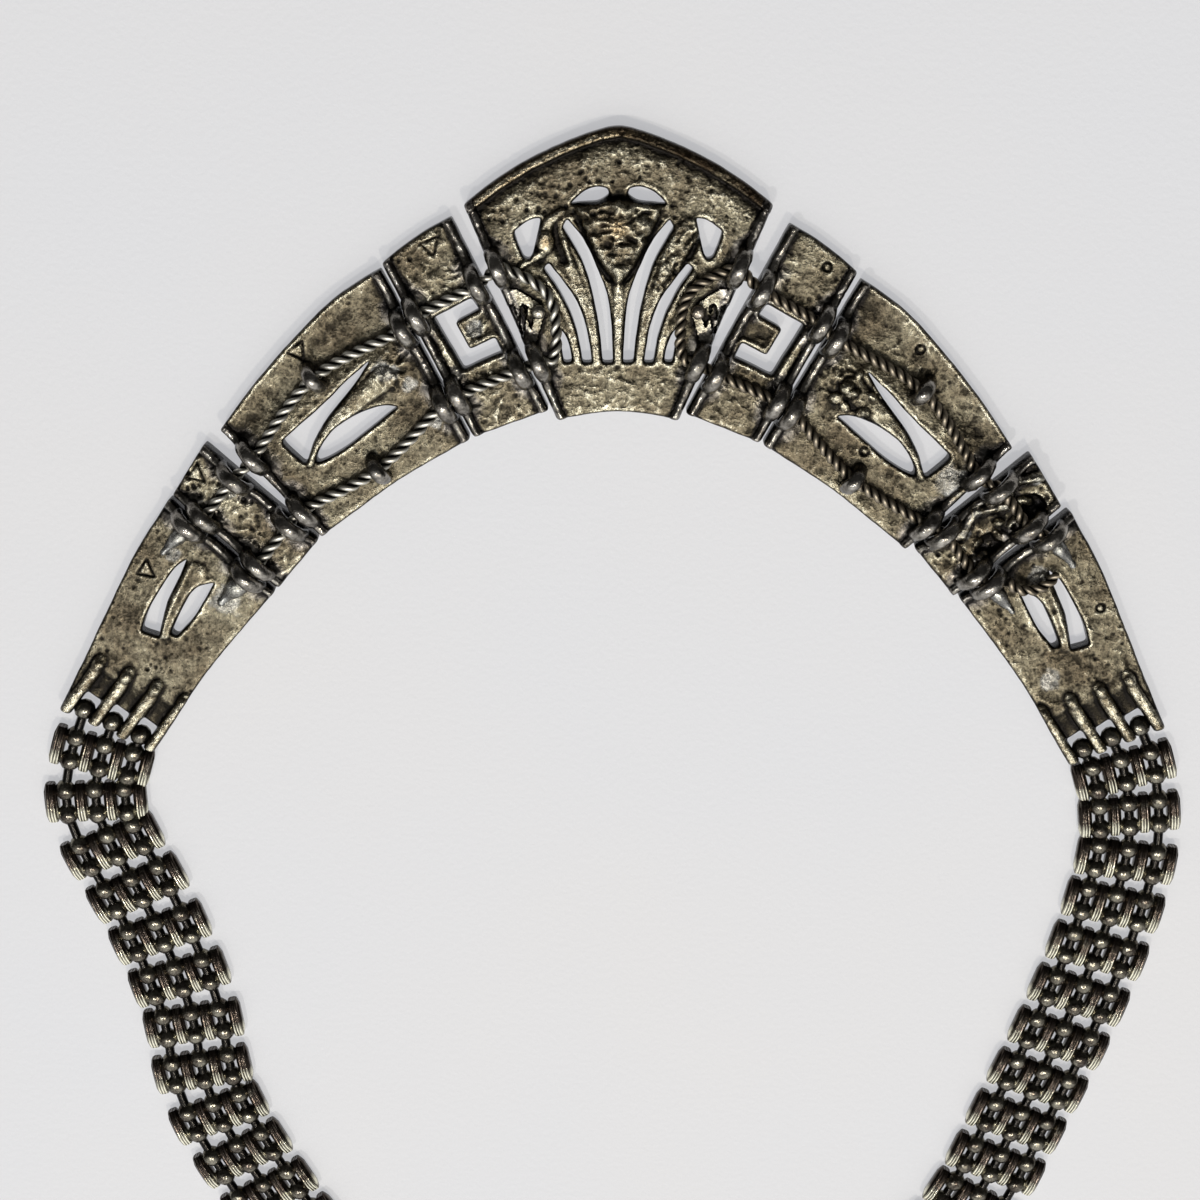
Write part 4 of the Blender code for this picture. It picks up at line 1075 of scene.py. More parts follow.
PLATES = {}
count = 0
for side in ("left", "right"):
    for kind in ("square", "wing", "small", "end"):
        count += 1
        name = f"{side}_{kind}_casting"
        PLATES[name] = (cast_plate(kind, side, name, 1000 + 97 * count), f"{side}_{kind}_plate")
PLATES["centre_casting"] = (cast_plate("centre", "right", "centre_casting", 500),
                            "centre_plate")
for name, (piece, node) in PLATES.items():
    print(name, len(piece.data.polygons), "faces")

# %% [markdown]
# ## Small tools for node trees
# One small class adds nodes to any tree: for geometry, for a material or for the sky.
# Geometry Nodes suit what repeats or follows a line: the twisted wire and the chain. A
# helper gives such a tree its named inputs and ends it the same way each time: instances
# made real, material set. The finished result is turned into a plain mesh.

# %% Nodes written one a line
class Nodes:
    """Adds nodes to a node tree."""

    def __init__(self, group):
        self.group = group

    def feed(self, socket, value):
        """Link a socket, wrapped or not, or set a plain value."""
        value = getattr(value, "socket", value)
        if isinstance(value, bpy.types.NodeSocket):
            self.group.links.new(value, socket)
        else:
            socket.default_value = value

    def node(self, kind, settings=None, **inputs):
        """Add a node; its settings go first, then values or links by socket name."""
        made = self.group.nodes.new(kind)
        for key, value in (settings or {}).items():
            setattr(made, key, value)
        for key, value in inputs.items():
            self.feed(made.inputs[key.replace("_", " ")], value)
        return made

    def worked_out(self, kind, operation, terms):
        """Add a node for a sum, with its terms in their order."""
        made = self.node(kind, {"operation": operation})
        for socket, value in zip(made.inputs, terms):
            self.feed(socket, value)
        return made

    def math(self, operation, *terms):
        """A sum with numbers."""
        return self.worked_out("ShaderNodeMath", operation, terms).outputs[0]

    def vector(self, operation, *terms):
        """A sum with vectors."""
        return self.worked_out("ShaderNodeVectorMath", operation, terms).outputs[0]


# %% Build and apply Geometry Nodes
class Tree(Nodes):
    """A Geometry Nodes tree with named sizes."""

    def __init__(self, name, sizes):
        super().__init__(bpy.data.node_groups.new(name, "GeometryNodeTree"))
        sockets = self.group.interface
        sockets.new_socket("Geometry", in_out="INPUT", socket_type="NodeSocketGeometry")
        for label, value in sizes.items():
            kind = "NodeSocketInt" if isinstance(value, int) else "NodeSocketFloat"
            socket = sockets.new_socket(label, in_out="INPUT", socket_type=kind)
            socket.default_value = value
        sockets.new_socket("Geometry", in_out="OUTPUT", socket_type="NodeSocketGeometry")
        self.given = self.group.nodes.new("NodeGroupInput").outputs
        self.end = self.group.nodes.new("NodeGroupOutput").inputs

    def scale(self, vector, by):
        """The vector made longer or shorter."""
        return self.node("ShaderNodeVectorMath", {"operation": "SCALE"}, Vector=vector,
                         Scale=by).outputs[0]

    def named(self, name, kind="FLOAT"):
        """A number or vector that is stored at the mesh's points or edges."""
        return self.node("GeometryNodeInputNamedAttribute", {"data_type": kind},
                         Name=name).outputs["Attribute"]

    def stored(self, geometry_in, name, value):
        """The geometry with a number stored at its points."""
        return self.node("GeometryNodeStoreNamedAttribute", {"data_type": "FLOAT"},
                         Geometry=geometry_in, Name=name, Value=value).outputs[0]

    def joined(self, parts):
        """Several geometries as one."""
        made = self.node("GeometryNodeJoinGeometry")
        for part in parts:
            self.group.links.new(part, made.inputs[0])
        return made.outputs[0]

    def finish(self, geometry_out, material):
        """End the tree: instances made real, smooth shaded, material set."""
        real = self.node("GeometryNodeRealizeInstances", Geometry=geometry_out)
        smooth = self.node("GeometryNodeSetShadeSmooth", Geometry=real.outputs[0])
        dressed = self.node("GeometryNodeSetMaterial", Geometry=smooth.outputs[0],
                            Material=material)
        self.feed(self.end["Geometry"], dressed.outputs[0])


def plain_mesh(piece):
    """Turn what an object's modifiers make into its own mesh."""
    depsgraph = bpy.context.evaluated_depsgraph_get()
    result = bpy.data.meshes.new_from_object(piece.evaluated_get(depsgraph))
    piece.modifiers.clear()
    piece.data = result
    return result


def grow(name, points, edges, numbers, tree, sizes):
    """Run a tree on a plain mesh of points and edges, and keep the result as a mesh."""
    mesh = bpy.data.meshes.new(name)
    mesh.from_pydata([tuple(p) for p in points], edges, [])
    for label, (kind, domain, values) in numbers.items():
        layer = mesh.attributes.new(label, kind, domain)
        layer.data.foreach_set("vector" if kind == "FLOAT_VECTOR" else "value",
                               np.asarray(values, float).ravel())
    piece = new_object(name, mesh)
    modifier = piece.modifiers.new(name, "NODES")
    modifier.node_group = tree.group
    for item in tree.group.interface.items_tree:
        if item.in_out == "INPUT" and item.name in sizes:
            modifier[item.identifier] = sizes[item.name]
    plain_mesh(piece).name = name
    return piece


# %% [markdown]
# ## Shader sums
# A finish is worked out as numbers over the surface: noise, hollows and edges. Wrapping a
# socket in a small class lets those sums be written as ordinary Python, which is easier
# to read than dozens of links.

# %% A wrapped socket
class Value:
    """A number socket of a material's nodes, usable in Python sums."""

    def __init__(self, nodes, socket):
        self.nodes, self.socket = nodes, socket

    def _with(self, operation, a, b):
        return Value(self.nodes, self.nodes.math(operation, a, b))

    def __add__(self, other):
        return self._with("ADD", self, other)

    def __sub__(self, other):
        return self._with("SUBTRACT", self, other)

    def __rsub__(self, other):
        return self._with("SUBTRACT", other, self)

    def __mul__(self, other):
        return self._with("MULTIPLY", self, other)

    __radd__ = __add__

    def held(self):
        """The same number kept between 0 and 1."""
        return self._with("MINIMUM", self._with("MAXIMUM", self, 0.0), 1.0)

    def ramp(self, low, high):
        """0 at low, 1 at high, straight between."""
        return ((self - low) * (1.0 / (high - low))).held()


# %% A material written one line a step
class Finish(Nodes):
    """Material builder round one Principled shader."""

    def __init__(self, name):
        self.material = bpy.data.materials.new(name)
        self.material.use_nodes = True
        super().__init__(self.material.node_tree)
        self.shader = self.group.nodes["Principled BSDF"]
        self.place = self.node("ShaderNodeTexCoord").outputs["Object"]

    def noise(self, size_mm, detail=3.0, rough=0.55, stretch=None):
        """Noise from 0 to 1 whose lumps are about size_mm across."""
        place = self.place
        if stretch:
            place = self.node("ShaderNodeMapping", Vector=place, Scale=stretch).outputs[0]
        made = self.node("ShaderNodeTexNoise", Vector=place, Scale=1.0 / (size_mm * MM),
                         Detail=detail, Roughness=rough)
        return Value(self, made.outputs[0])

    def painted(self, name):
        """A number that is stored at the mesh's points."""
        made = self.node("ShaderNodeAttribute", {"attribute_name": name})
        return Value(self, made.outputs["Fac"])

    def mix(self, share, first, second):
        """Colour between two colours."""
        made = self.node("ShaderNodeMix", {"data_type": "RGBA"}, Factor=share)
        for label, colour in (("A_Color", first), ("B_Color", second)):
            socket = next(s for s in made.inputs if s.identifier == label)
            self.feed(socket, colour if isinstance(colour, bpy.types.NodeSocket)
                      else (*colour, 1.0))
        return next(s for s in made.outputs if s.identifier == "Result_Color")

    def bump(self, height, strength, distance_mm):
        """Small bumps in the surface, up to distance_mm high."""
        made = self.node("ShaderNodeBump", Strength=strength, Distance=distance_mm * MM,
                         Height=height)
        self.feed(self.shader.inputs["Normal"], made.outputs[0])

    def set(self, **inputs):
        """Fill in the shader's sockets, and hand the material back."""
        for key, value in inputs.items():
            self.feed(self.shader.inputs[key.replace("_", " ")], value)
        return self.material


# %% [markdown]
# ## Antiqued pewter
# The plates are cast pewter, darkened with a patina and rubbed back. The colour goes from
# near black in the hollows through olive grey to pale warm metal on what stands proud,
# and it is mottled at several sizes. The same painted numbers also carry painted shade on
# the walls and at the feet of the loops, a painted highlight along the rim and painted gold
# highlights on a few lumps. Rubbed metal is smoother, so roughness follows the same numbers.

# %% The plates' metal
pewter = Finish("antiqued_pewter")
hollow_and_painted_light = pewter.painted("hollow_and_painted_light")
painted = pewter.painted("dark")
dark = painted.held()
solder = (painted * -1.0).held()
brass_and_gold_glint = pewter.painted("brass_and_gold_glint")
broad = pewter.noise(6.0, 3.0)
mottle = pewter.noise(1.3, 5.0, 0.62)
grain = pewter.noise(0.34, 3.0, 0.6)
fine = pewter.noise(0.13, 2.0)
rubbed = (0.88 - hollow_and_painted_light * 1.15 + (mottle - 0.5) * 0.9 + (broad - 0.5) * 0.5
          + (grain - 0.5) * 0.7).held()
mid_tone = pewter.mix(broad.ramp(0.35, 0.65), (0.108, 0.088, 0.058), (0.150, 0.134, 0.094))
body_tone = pewter.mix(rubbed.ramp(0.12, 0.50), (0.018, 0.015, 0.010), mid_tone)
body_tone = pewter.mix(rubbed.ramp(0.54, 0.88), body_tone, (0.56, 0.525, 0.41))
# near black where the hollow number is high: patina in the plates' hollows, painted shade on the
# walls
body_tone = pewter.mix((hollow_and_painted_light - 0.60).ramp(0.0, 0.25), body_tone, (0.007, 0.006, 0.005))
# the brass tone, also used for the painted gold highlights
brass_tone = pewter.mix(rubbed.ramp(0.3, 0.9), (0.035, 0.020, 0.010), (0.34, 0.22, 0.09))
body_tone = pewter.mix(brass_and_gold_glint * 0.8, body_tone, brass_tone)
loop_tone = pewter.mix(mottle.ramp(0.38, 0.75), (0.045, 0.040, 0.037), (0.40, 0.375, 0.345))
# painted shade: the loops and posts go near black towards the plate
loop_tone = pewter.mix((hollow_and_painted_light - 0.25).ramp(0.0, 0.5), loop_tone, (0.008, 0.007, 0.007))
body_tone = pewter.mix(dark * 0.9, body_tone, loop_tone)
solder_tone = pewter.mix(mottle.ramp(0.35, 0.75), (0.11, 0.11, 0.105), (0.50, 0.50, 0.48))
body_tone = pewter.mix(solder * 0.9, body_tone, solder_tone)
rough = 0.33 - rubbed * 0.10 - dark * 0.12 - solder * 0.06 + (grain - 0.5) * 0.22
pewter.bump((mottle * 1.4 + grain * 0.6 + fine * 0.2) * (1.0 - dark * 0.55), 0.9, 0.17)
pewter_metal = pewter.set(Base_Color=body_tone, Roughness=rough.held(), Metallic=0.95)
for name, (piece, node) in PLATES.items():
    piece.data.materials.append(pewter_metal)

# %% [markdown]
# ## Twisted wire
# Each hairpin is two round wires laid round each other. One line runs down the middle of
# the twist; the tree offsets it twice by a turning arm and sweeps a round section along
# both, as a rope maker lays two strands.

# %% The wires' metal
def wire_finish(name, pale, deep):
    """Painted shade between the strands, rubbed pale on their crowns."""
    made = Finish(name)
    spots = made.noise(0.9, 4.0, 0.6)
    fine = made.noise(0.2, 2.0)
    crown = made.painted("crown")
    # painted shade: the grooves between the strands, where crown is low, take the deep colour
    wear_and_painted_light = (crown * 1.5 - 0.75 + spots * 0.7 + (fine - 0.5) * 0.4).held()
    tone = made.mix(wear_and_painted_light, deep, pale)
    made.bump(fine, 0.3, 0.05)
    return made.set(Base_Color=tone, Roughness=(0.50 - wear_and_painted_light * 0.10).held(), Metallic=0.92)


# %% Tree for a laid wire
def laid_wire(name, material):
    """Two strands laid round the curve that the tree is run on."""
    tree = Tree(name, {"Pitch": 3.2 * MM, "Arm": 0.38 * MM, "Strand radius": 0.41 * MM,
                       "Step": 0.22 * MM, "Sides": 8})
    given = tree.given
    curve = tree.node("GeometryNodeMeshToCurve", Mesh=given["Geometry"])
    even = tree.node("GeometryNodeResampleCurve", {"mode": "LENGTH"},
                     Curve=curve.outputs[0], Length=given["Step"])
    level = tree.node("GeometryNodeSetCurveNormal", {"mode": "Z_UP"}, Curve=even.outputs[0])
    run = tree.node("GeometryNodeSplineParameter").outputs["Length"]
    normal = tree.node("GeometryNodeInputNormal").outputs[0]
    tangent = tree.node("GeometryNodeInputTangent").outputs[0]
    other = tree.vector("CROSS_PRODUCT", tangent, normal)
    profile = tree.node("GeometryNodeCurvePrimitiveCircle", Resolution=given["Sides"],
                        Radius=given["Strand radius"])
    strands = []
    for phase in (0.0, math.pi):
        turn = tree.math("MULTIPLY", tree.math("DIVIDE", run, given["Pitch"]), 2 * math.pi)
        turn = tree.math("ADD", turn, phase)
        arm_a, arm_b = (
            tree.scale(way, tree.math("MULTIPLY", tree.math(wave, turn), given["Arm"]))
            for way, wave in ((normal, "COSINE"), (other, "SINE")))
        moved = tree.node("GeometryNodeSetPosition", Geometry=level.outputs[0],
                          Offset=tree.vector("ADD", arm_a, arm_b))
        swept = tree.node("GeometryNodeCurveToMesh", Curve=moved.outputs[0],
                          Profile_Curve=profile.outputs[0], Fill_Caps=True)
        strands.append(swept.outputs[0])
    tree.finish(tree.joined(strands), material)
    return tree


# %% The wires' route through the loops
WIRE_TAIL = 1.9
GROOVE_RADIUS = 0.42
GROOVE_TO_CROWN = 0.30


def smooth_path(points, steps):
    """Curve through space points."""
    pts = [np.array(p, float) for p in points]
    out = []
    for i in range(len(pts) - 1):
        p0, p1 = pts[max(i - 1, 0)], pts[i]
        p2, p3 = pts[i + 1], pts[min(i + 2, len(pts) - 1)]
        out += [curve_point(p0, p1, p2, p3, t) for t in np.arange(steps) / steps]
    return np.array(out + [pts[-1]])


def through(matrix, x, y, z=WIRE_HEIGHT):
    """A point of a plate, at the wire's height, as a point of the necklace."""
    return tuple(matrix @ Vector((x, y, z)))


def wire_route(side):
    """Middle line of one hairpin in millimetres."""
    rows = []
    for level in (0, 1):
        out = CROSSING["end near"][level] * DEPTH["end"]
        start = at_edge(near_far["end"][0], out)
        row = [through(lay[side]["end"], start[0] + LOOP_INSET + WIRE_TAIL, out)]
        for kind in ("end", "small", "wing", "square", "centre"):
            for edge, label, _, inward in reversed(list(joint_edges(kind))):
                share = CROSSING[f"{kind} {label}"][level]
                p = at_edge(edge, share * DEPTH[kind]) + inward * LOOP_INSET
                row.append(through(lay[side][kind], *p))
                if kind == "wing" and label == "far":
                    staple = CROSSING["wing staple"][level] * DEPTH["wing"]
                    row.append(through(lay[side]["wing"], STAPLE_ALONG, staple))
        rows.append(row)
    turn = [through(lay[side]["centre"], *p)
            for p in scaled(HAIRPIN, CENTRE_HALF_WIDTH, CENTRE_DEPTH)]
    return smooth_path(rows[0] + turn + rows[1][::-1], 8)


def paint_crowns(mesh, path):
    """Store how far each point stands from the middle line: grooves 0, crowns 1."""
    tree = tree_of(smooth_path(path / MM, 6))
    away = np.array([tree.find(v.co / MM)[2] for v in mesh.vertices])
    layer = mesh.attributes.new("crown", "FLOAT", "POINT")
    share = (away - GROOVE_RADIUS) / GROOVE_TO_CROWN
    layer.data.foreach_set("value", np.clip(share, 0.0, 1.0))


WIRES = {}
# each wire: crown colour, deep colour of the painted groove shade, and pitch
WIRE_LOOK = {
    "left": ((0.55, 0.53, 0.47), (0.012, 0.011, 0.009), 3.4 * MM),
    "right": ((0.24, 0.205, 0.155), (0.010, 0.008, 0.006), 2.8 * MM),
}
LOOSE_TAIL = {"right": [(1.2, 6.6, 4.4), (3.0, 7.2, 4.4), (4.3, 8.8, 4.1), (4.7, 10.8, 3.9),
                        (4.3, 12.6, 3.7)]}
for side, (pale, deep, pitch) in WIRE_LOOK.items():
    path = wire_route(side)
    edges = [(i, i + 1) for i in range(len(path) - 1)]
    if side in LOOSE_TAIL:
        tail = smooth_path([through(lay[side]["end"], *p) for p in LOOSE_TAIL[side]], 8)
        edges += [(len(path) + i, len(path) + i + 1) for i in range(len(tail) - 1)]
        path = np.vstack([path, tail])
    path = path * MM
    name = f"{side}_laid_wire"
    tree = laid_wire(name, wire_finish(f"{side}_wire_metal", pale, deep))
    WIRES[name] = (grow(name, path, edges, {}, tree, {"Pitch": pitch}),
                   f"{side}_twisted_wire")
    paint_crowns(WIRES[name][0].data, path)
    print(name, "length", round(float(np.linalg.norm(np.diff(path, axis=0), axis=1).sum()), 3),
          "m,", len(WIRES[name][0].data.polygons), "faces")

# %% [markdown]
# ## The bar chain
# The chain is four columns of fluted bars on cross pins, with three columns of beaded
# links between them. Every row is placed on the same route as the solid band of the
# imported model. The tree puts a fluted bar and a bead on marked points and sweeps a round
# section along the edges for the pins and the necks of the links.

# %% Rows along the route
def chain_rows(side):
    """Middle, direction and cross direction of the first pin and of every row."""
    end = lay[side]["end"]
    start = np.array(end @ Vector((*pin_point(PRONG_FIRST + 1.5 * CHAIN_COLUMN), 0.0)))[:2]
    turn = np.array(end.to_3x3())[:2, :2]
    route = [start] + [np.array(p) + ROUTE_SHIFT for p in CHAIN_ROUTE[side]]
    path = smooth_path(route, 24)
    run = np.concatenate([[0.0], np.cumsum(np.hypot(*np.diff(path, axis=0).T))])

    def sample(distance):
        return np.array([np.interp(distance, run, path[:, k]) for k in (0, 1)])

    first = PITCH_TAUT - PIN_SPACING / 2
    stops = [first]
    while True:
        share = min(len(stops) / SLACK_ROWS, 1.0)
        following = stops[-1] + PITCH_SLACK + (PITCH_TAUT - PITCH_SLACK) * share
        if following > run[-1] - first + PITCH_TAUT / 2:
            break
        stops.append(following)
    stretch = (run[-1] - first - stops[0]) / (stops[-1] - stops[0])
    flip = -1.0 if side == "left" else 1.0
    rows = [(start, turn @ [1.0, 0.0], turn @ [PIN_SLANT, 1.0])]
    for stop in stops:
        at = stops[0] + (stop - stops[0]) * stretch
        along = sample(at + PITCH_TAUT / 2) - sample(at - PITCH_TAUT / 2)
        along /= np.hypot(*along)
        rows.append((sample(at), along, np.array([-along[1], along[0]]) * flip))
    along = path[-1] - path[-8]
    along /= np.hypot(*along)
    rows.append((path[-1], along, np.array([-along[1], along[0]]) * flip))
    return rows


BEAD, BAR, PIN_TIP = 0.0, 1.0, 2.0
BEAD_LIFT = 0.12
LAST_BEAD_BACK = 1.0
PIN_REACH = (-1.69 * CHAIN_COLUMN, 1.69 * CHAIN_COLUMN)
FIRST_PIN_SHARE = 0.86
NECK_RADIUS = 0.68
PIN_RADIUS = 0.42


def chain_plan(side):
    """Points and edges for the tree: bars, beads, necks and pins."""
    rows = chain_rows(side)
    rng = np.random.default_rng(12 if side == "left" else 13)
    points, edges, turns, marks, thick = [], [], [], [], []
    z = CHAIN_THICK / 2
    last_bead = {}

    def add(p, height, angle, mark):
        points.append((p[0] * MM, p[1] * MM, height * MM))
        tilt = rng.uniform(-0.05, 0.05) if mark == BAR else rng.uniform(-0.4, 0.4)
        turns.append((tilt, rng.uniform(-0.03, 0.03), angle))
        marks.append(mark)
        return len(points) - 1

    def join(a, b, radius):
        edges.append((a, b))
        thick.append(radius * MM)

    for number, (middle, along, across) in enumerate(rows):
        angle = math.atan2(along[1], along[0])
        is_first, is_last = number == 0, number == len(rows) - 1
        ends = (0.0,)
        if not is_first and not is_last:
            ends = (-PIN_SPACING / 2, PIN_SPACING / 2)
            for column in (-1.5, -0.5, 0.5, 1.5):
                add(middle + across * column * CHAIN_COLUMN, z, angle, BAR)
        for offset in ends:
            pin = middle + along * offset
            back = along * (LAST_BEAD_BACK if is_last else 0.0)
            for column in (-1, 0, 1):
                bead = add(pin - back + across * column * CHAIN_COLUMN, z + BEAD_LIFT, angle,
                           BEAD)
                if column in last_bead:
                    join(last_bead[column], bead, NECK_RADIUS)
                last_bead[column] = bead
            share = FIRST_PIN_SHARE if is_first else 1.0
            tips = [add(pin + across * (reach * share), z, angle, PIN_TIP)
                    for reach in PIN_REACH]
            if not is_last:
                join(*tips, PIN_RADIUS)
    return points, edges, turns, marks, thick


# %% One bar of the chain
FULL_UNTIL = 0.80
END_SHARE = 0.70


def fluted_bar(tree, given):
    """Squarish section swept along a short line, with rounded ends and an arched back."""
    def position():
        return tree.node("ShaderNodeSeparateXYZ", Vector=tree.node(
            "GeometryNodeInputPosition").outputs[0]).outputs

    line = tree.node("GeometryNodeCurvePrimitiveLine", Start=(-1.0, 0.0, 0.0),
                     End=(1.0, 0.0, 0.0))
    cuts = tree.node("GeometryNodeResampleCurve", {"mode": "COUNT"}, Curve=line.outputs[0],
                     Count=8)
    factor = tree.node("GeometryNodeSplineParameter").outputs["Factor"]
    swing = tree.math("SINE", tree.math("MULTIPLY", tree.math("SUBTRACT", factor, 0.5), math.pi))
    station = tree.math("MULTIPLY", swing, tree.math("MULTIPLY", given["Bar length"], 0.5))
    placed = tree.node("GeometryNodeSetPosition", Geometry=cuts.outputs[0],
                       Position=tree.node("ShaderNodeCombineXYZ", X=station).outputs[0])
    late = tree.math("DIVIDE", tree.math("MAXIMUM", tree.math(
        "SUBTRACT", tree.math("ABSOLUTE", swing), FULL_UNTIL), 0.0), 1.0 - FULL_UNTIL)
    arc = tree.math("SQRT", tree.math("SUBTRACT", 1.0, tree.math("MULTIPLY", late, late)))
    taper = tree.math("ADD", END_SHARE, tree.math("MULTIPLY", arc, 1.0 - END_SHARE))

    ring = tree.node("GeometryNodeCurvePrimitiveCircle", Resolution=12, Radius=1.0)
    split = position()
    fourth = [tree.math("POWER", tree.math("ABSOLUTE", split[k]), 4.0) for k in (0, 1)]
    square = tree.math("POWER", tree.math("ADD", fourth[0], fourth[1]), -0.25)
    sizes = [tree.math("MULTIPLY", given[name], 0.5) for name in ("Bar width", "Bar thickness")]
    wide, tall = (tree.math("MULTIPLY", tree.math("MULTIPLY", split[k], square), sizes[k])
                  for k in (0, 1))
    section = tree.node("GeometryNodeSetPosition", Geometry=ring.outputs[0],
                        Position=tree.node("ShaderNodeCombineXYZ", X=wide, Y=tall).outputs[0])
    upright = tree.node("GeometryNodeSetCurveNormal", {"mode": "Z_UP"},
                        Curve=placed.outputs[0])
    bar = tree.node("GeometryNodeCurveToMesh", Curve=upright.outputs[0],
                    Profile_Curve=section.outputs[0], Scale=taper, Fill_Caps=True)
    place = position()
    across = tree.math("DIVIDE", place[1], sizes[0])
    share = tree.math("DIVIDE", place[0], tree.math("MULTIPLY", given["Bar length"], 0.5))
    marked = tree.stored(tree.stored(bar.outputs[0], "across", across), "lengthwise", share)
    upper = tree.math("MAXIMUM", tree.math("DIVIDE", place[2], sizes[1]), 0.0)
    drop = tree.math("MULTIPLY", tree.math("MULTIPLY", share, share),
                     tree.math("MULTIPLY", upper, given["Arch"]))
    arched = tree.node("GeometryNodeSetPosition", Geometry=marked,
                       Offset=tree.node("ShaderNodeCombineXYZ", Z=tree.math(
                           "MULTIPLY", drop, -1.0)).outputs[0])
    return arched.outputs[0]


# %% Tree for the chain
ON_RODS = -3.0


def bar_chain(material):
    """Bars and beads on the marked points, rods along the edges."""
    tree = Tree("bar_chain", {"Bar length": BAR_LENGTH * MM, "Bar width": BAR_WIDTH * MM,
                              "Bar thickness": 2.3 * MM, "Arch": 0.42 * MM,
                              "Bead width": 2.95 * MM, "Bead length": 3.1 * MM,
                              "Bead thickness": 2.5 * MM})
    given = tree.given
    mark, turn = tree.named("mark"), tree.named("turn", "FLOAT_VECTOR")
    bars_only, beads_only = (
        tree.node("FunctionNodeCompare", {"operation": "EQUAL"}, A=mark, B=wanted)
        for wanted in (BAR, BEAD))

    bars = tree.node("GeometryNodeInstanceOnPoints", Points=given["Geometry"],
                     Selection=bars_only.outputs[0], Instance=fluted_bar(tree, given),
                     Rotation=turn)

    # one bead: a low round ball
    ball = tree.node("GeometryNodeMeshUVSphere", Segments=12, Rings=8, Radius=0.5)
    size = tree.node("ShaderNodeCombineXYZ", X=given["Bead length"], Y=given["Bead width"],
                     Z=given["Bead thickness"])
    beads = tree.node("GeometryNodeInstanceOnPoints", Points=given["Geometry"],
                      Selection=beads_only.outputs[0], Instance=ball.outputs[0],
                      Rotation=turn, Scale=size.outputs[0])

    # pins and necks: the edges, swept with a round section
    wires = tree.node("GeometryNodeMeshToCurve", Mesh=given["Geometry"])
    circle = tree.node("GeometryNodeCurvePrimitiveCircle", Resolution=8, Radius=1.0)
    rods = tree.node("GeometryNodeCurveToMesh", Curve=wires.outputs[0],
                     Profile_Curve=circle.outputs[0], Scale=tree.named("thick"),
                     Fill_Caps=True)
    rods = tree.stored(rods.outputs[0], "lengthwise", ON_RODS)
    tree.finish(tree.joined((bars.outputs[0], beads.outputs[0], rods)), material)
    return tree


# %% [markdown]
# ## Gunmetal plating
# The chain is plated almost black and worn to a warm pale metal where it rubs. Each bar is
# also painted pale towards one end as a highlight and darker along its flutes as shade,
# and the pins and necks are painted near black as the shade between the beads. It is much
# smoother than the castings, so it shows small sharp highlights.

# %% The chain's metal
gun = Finish("gunmetal_plating")
cloud = gun.noise(2.2, 3.0)
speck = gun.noise(0.25, 3.0, 0.6)
across = gun.painted("across")
wave = Value(gun, gun.math("SINE", across * (2.0 * math.pi)))
flutes = wave * wave
lengthwise = gun.painted("lengthwise")
# painted highlight: each bar is painted pale towards the end that faces the lamps
painted_highlight_end = lengthwise.ramp(0.10, 0.72)
# rods carry a number far below a bar's own -1 to 1; beads carry none and read as 0
# painted shade: the pins and necks are painted near black, as the dark between the beads
sunk = (lengthwise * -1.0 - 1.5).held()
bead = 1.0 - (across * across + lengthwise * lengthwise) * 1e4
# the flute grooves are painted darker as shade, besides their bump
wear_and_painted_light = (cloud * 0.6 - 0.34 + (speck - 0.5) * 0.5 + painted_highlight_end * (1.4 - flutes * 1.2)
        + bead.held() * 0.14).held()
gun_tone = gun.mix(wear_and_painted_light, (0.040, 0.031, 0.025), (0.80, 0.77, 0.61))
gun_tone = gun.mix(sunk, gun_tone, (0.010, 0.009, 0.008))
gun.bump(flutes * -1.0 + speck * 0.35, 0.8, 0.12)
gun_metal = gun.set(Base_Color=gun_tone, Roughness=(0.17 + (speck - 0.5) * 0.2).held(),
                    Metallic=0.96)
chain_tree = bar_chain(gun_metal)
CHAINS = {}
for side in ("left", "right"):
    points, edges, turns, marks, thick = chain_plan(side)
    name = f"{side}_bar_chain"
    numbers = {"turn": ("FLOAT_VECTOR", "POINT", turns), "mark": ("FLOAT", "POINT", marks),
               "thick": ("FLOAT", "EDGE", thick)}
    CHAINS[name] = (grow(name, points, edges, numbers, chain_tree, {}), f"{side}_chain")
    print(name, len(CHAINS[name][0].data.polygons), "faces")

# %% [markdown]
# ## The clasp
# The clasp lies outside the photograph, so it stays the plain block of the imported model.
# Its edges get a small bevel, as any worn clasp has, and a satin metal.

# %% A plain clasp
clasp = new_object("plain_clasp", bpy.data.objects["clasp"].data.copy())
weld = clasp.modifiers.new("weld", "WELD")
weld.merge_threshold = 1e-6
bevel = clasp.modifiers.new("bevel", "BEVEL")
bevel.width = 0.5 * MM
bevel.segments = 3
bevel.limit_method = "ANGLE"
bevel.angle_limit = math.radians(40.0)
result = plain_mesh(clasp)
satin = Finish("satin_metal")
haze = satin.noise(3.0, 4.0)
lines = satin.noise(0.4, 2.0, 0.5, (0.08, 1.0, 1.0))
satin.bump(lines, 0.2, 0.04)
satin_metal = satin.set(Base_Color=satin.mix(haze, (0.16, 0.15, 0.135), (0.30, 0.285, 0.25)),
                        Roughness=(0.34 + (lines - 0.5) * 0.2).held(), Metallic=0.95)
result.materials.clear()
result.materials.append(satin_metal)
result.polygons.foreach_set("use_smooth", [True] * len(result.polygons))
result.set_sharp_from_angle(angle=math.radians(35.0))
print("clasp", len(result.polygons), "faces")

# %% [markdown]
# ## Every piece takes its solid's place
# The imported model keeps the solids for collision. Each detailed piece hides the solid it
# stands for and rides on the one body of the necklace.

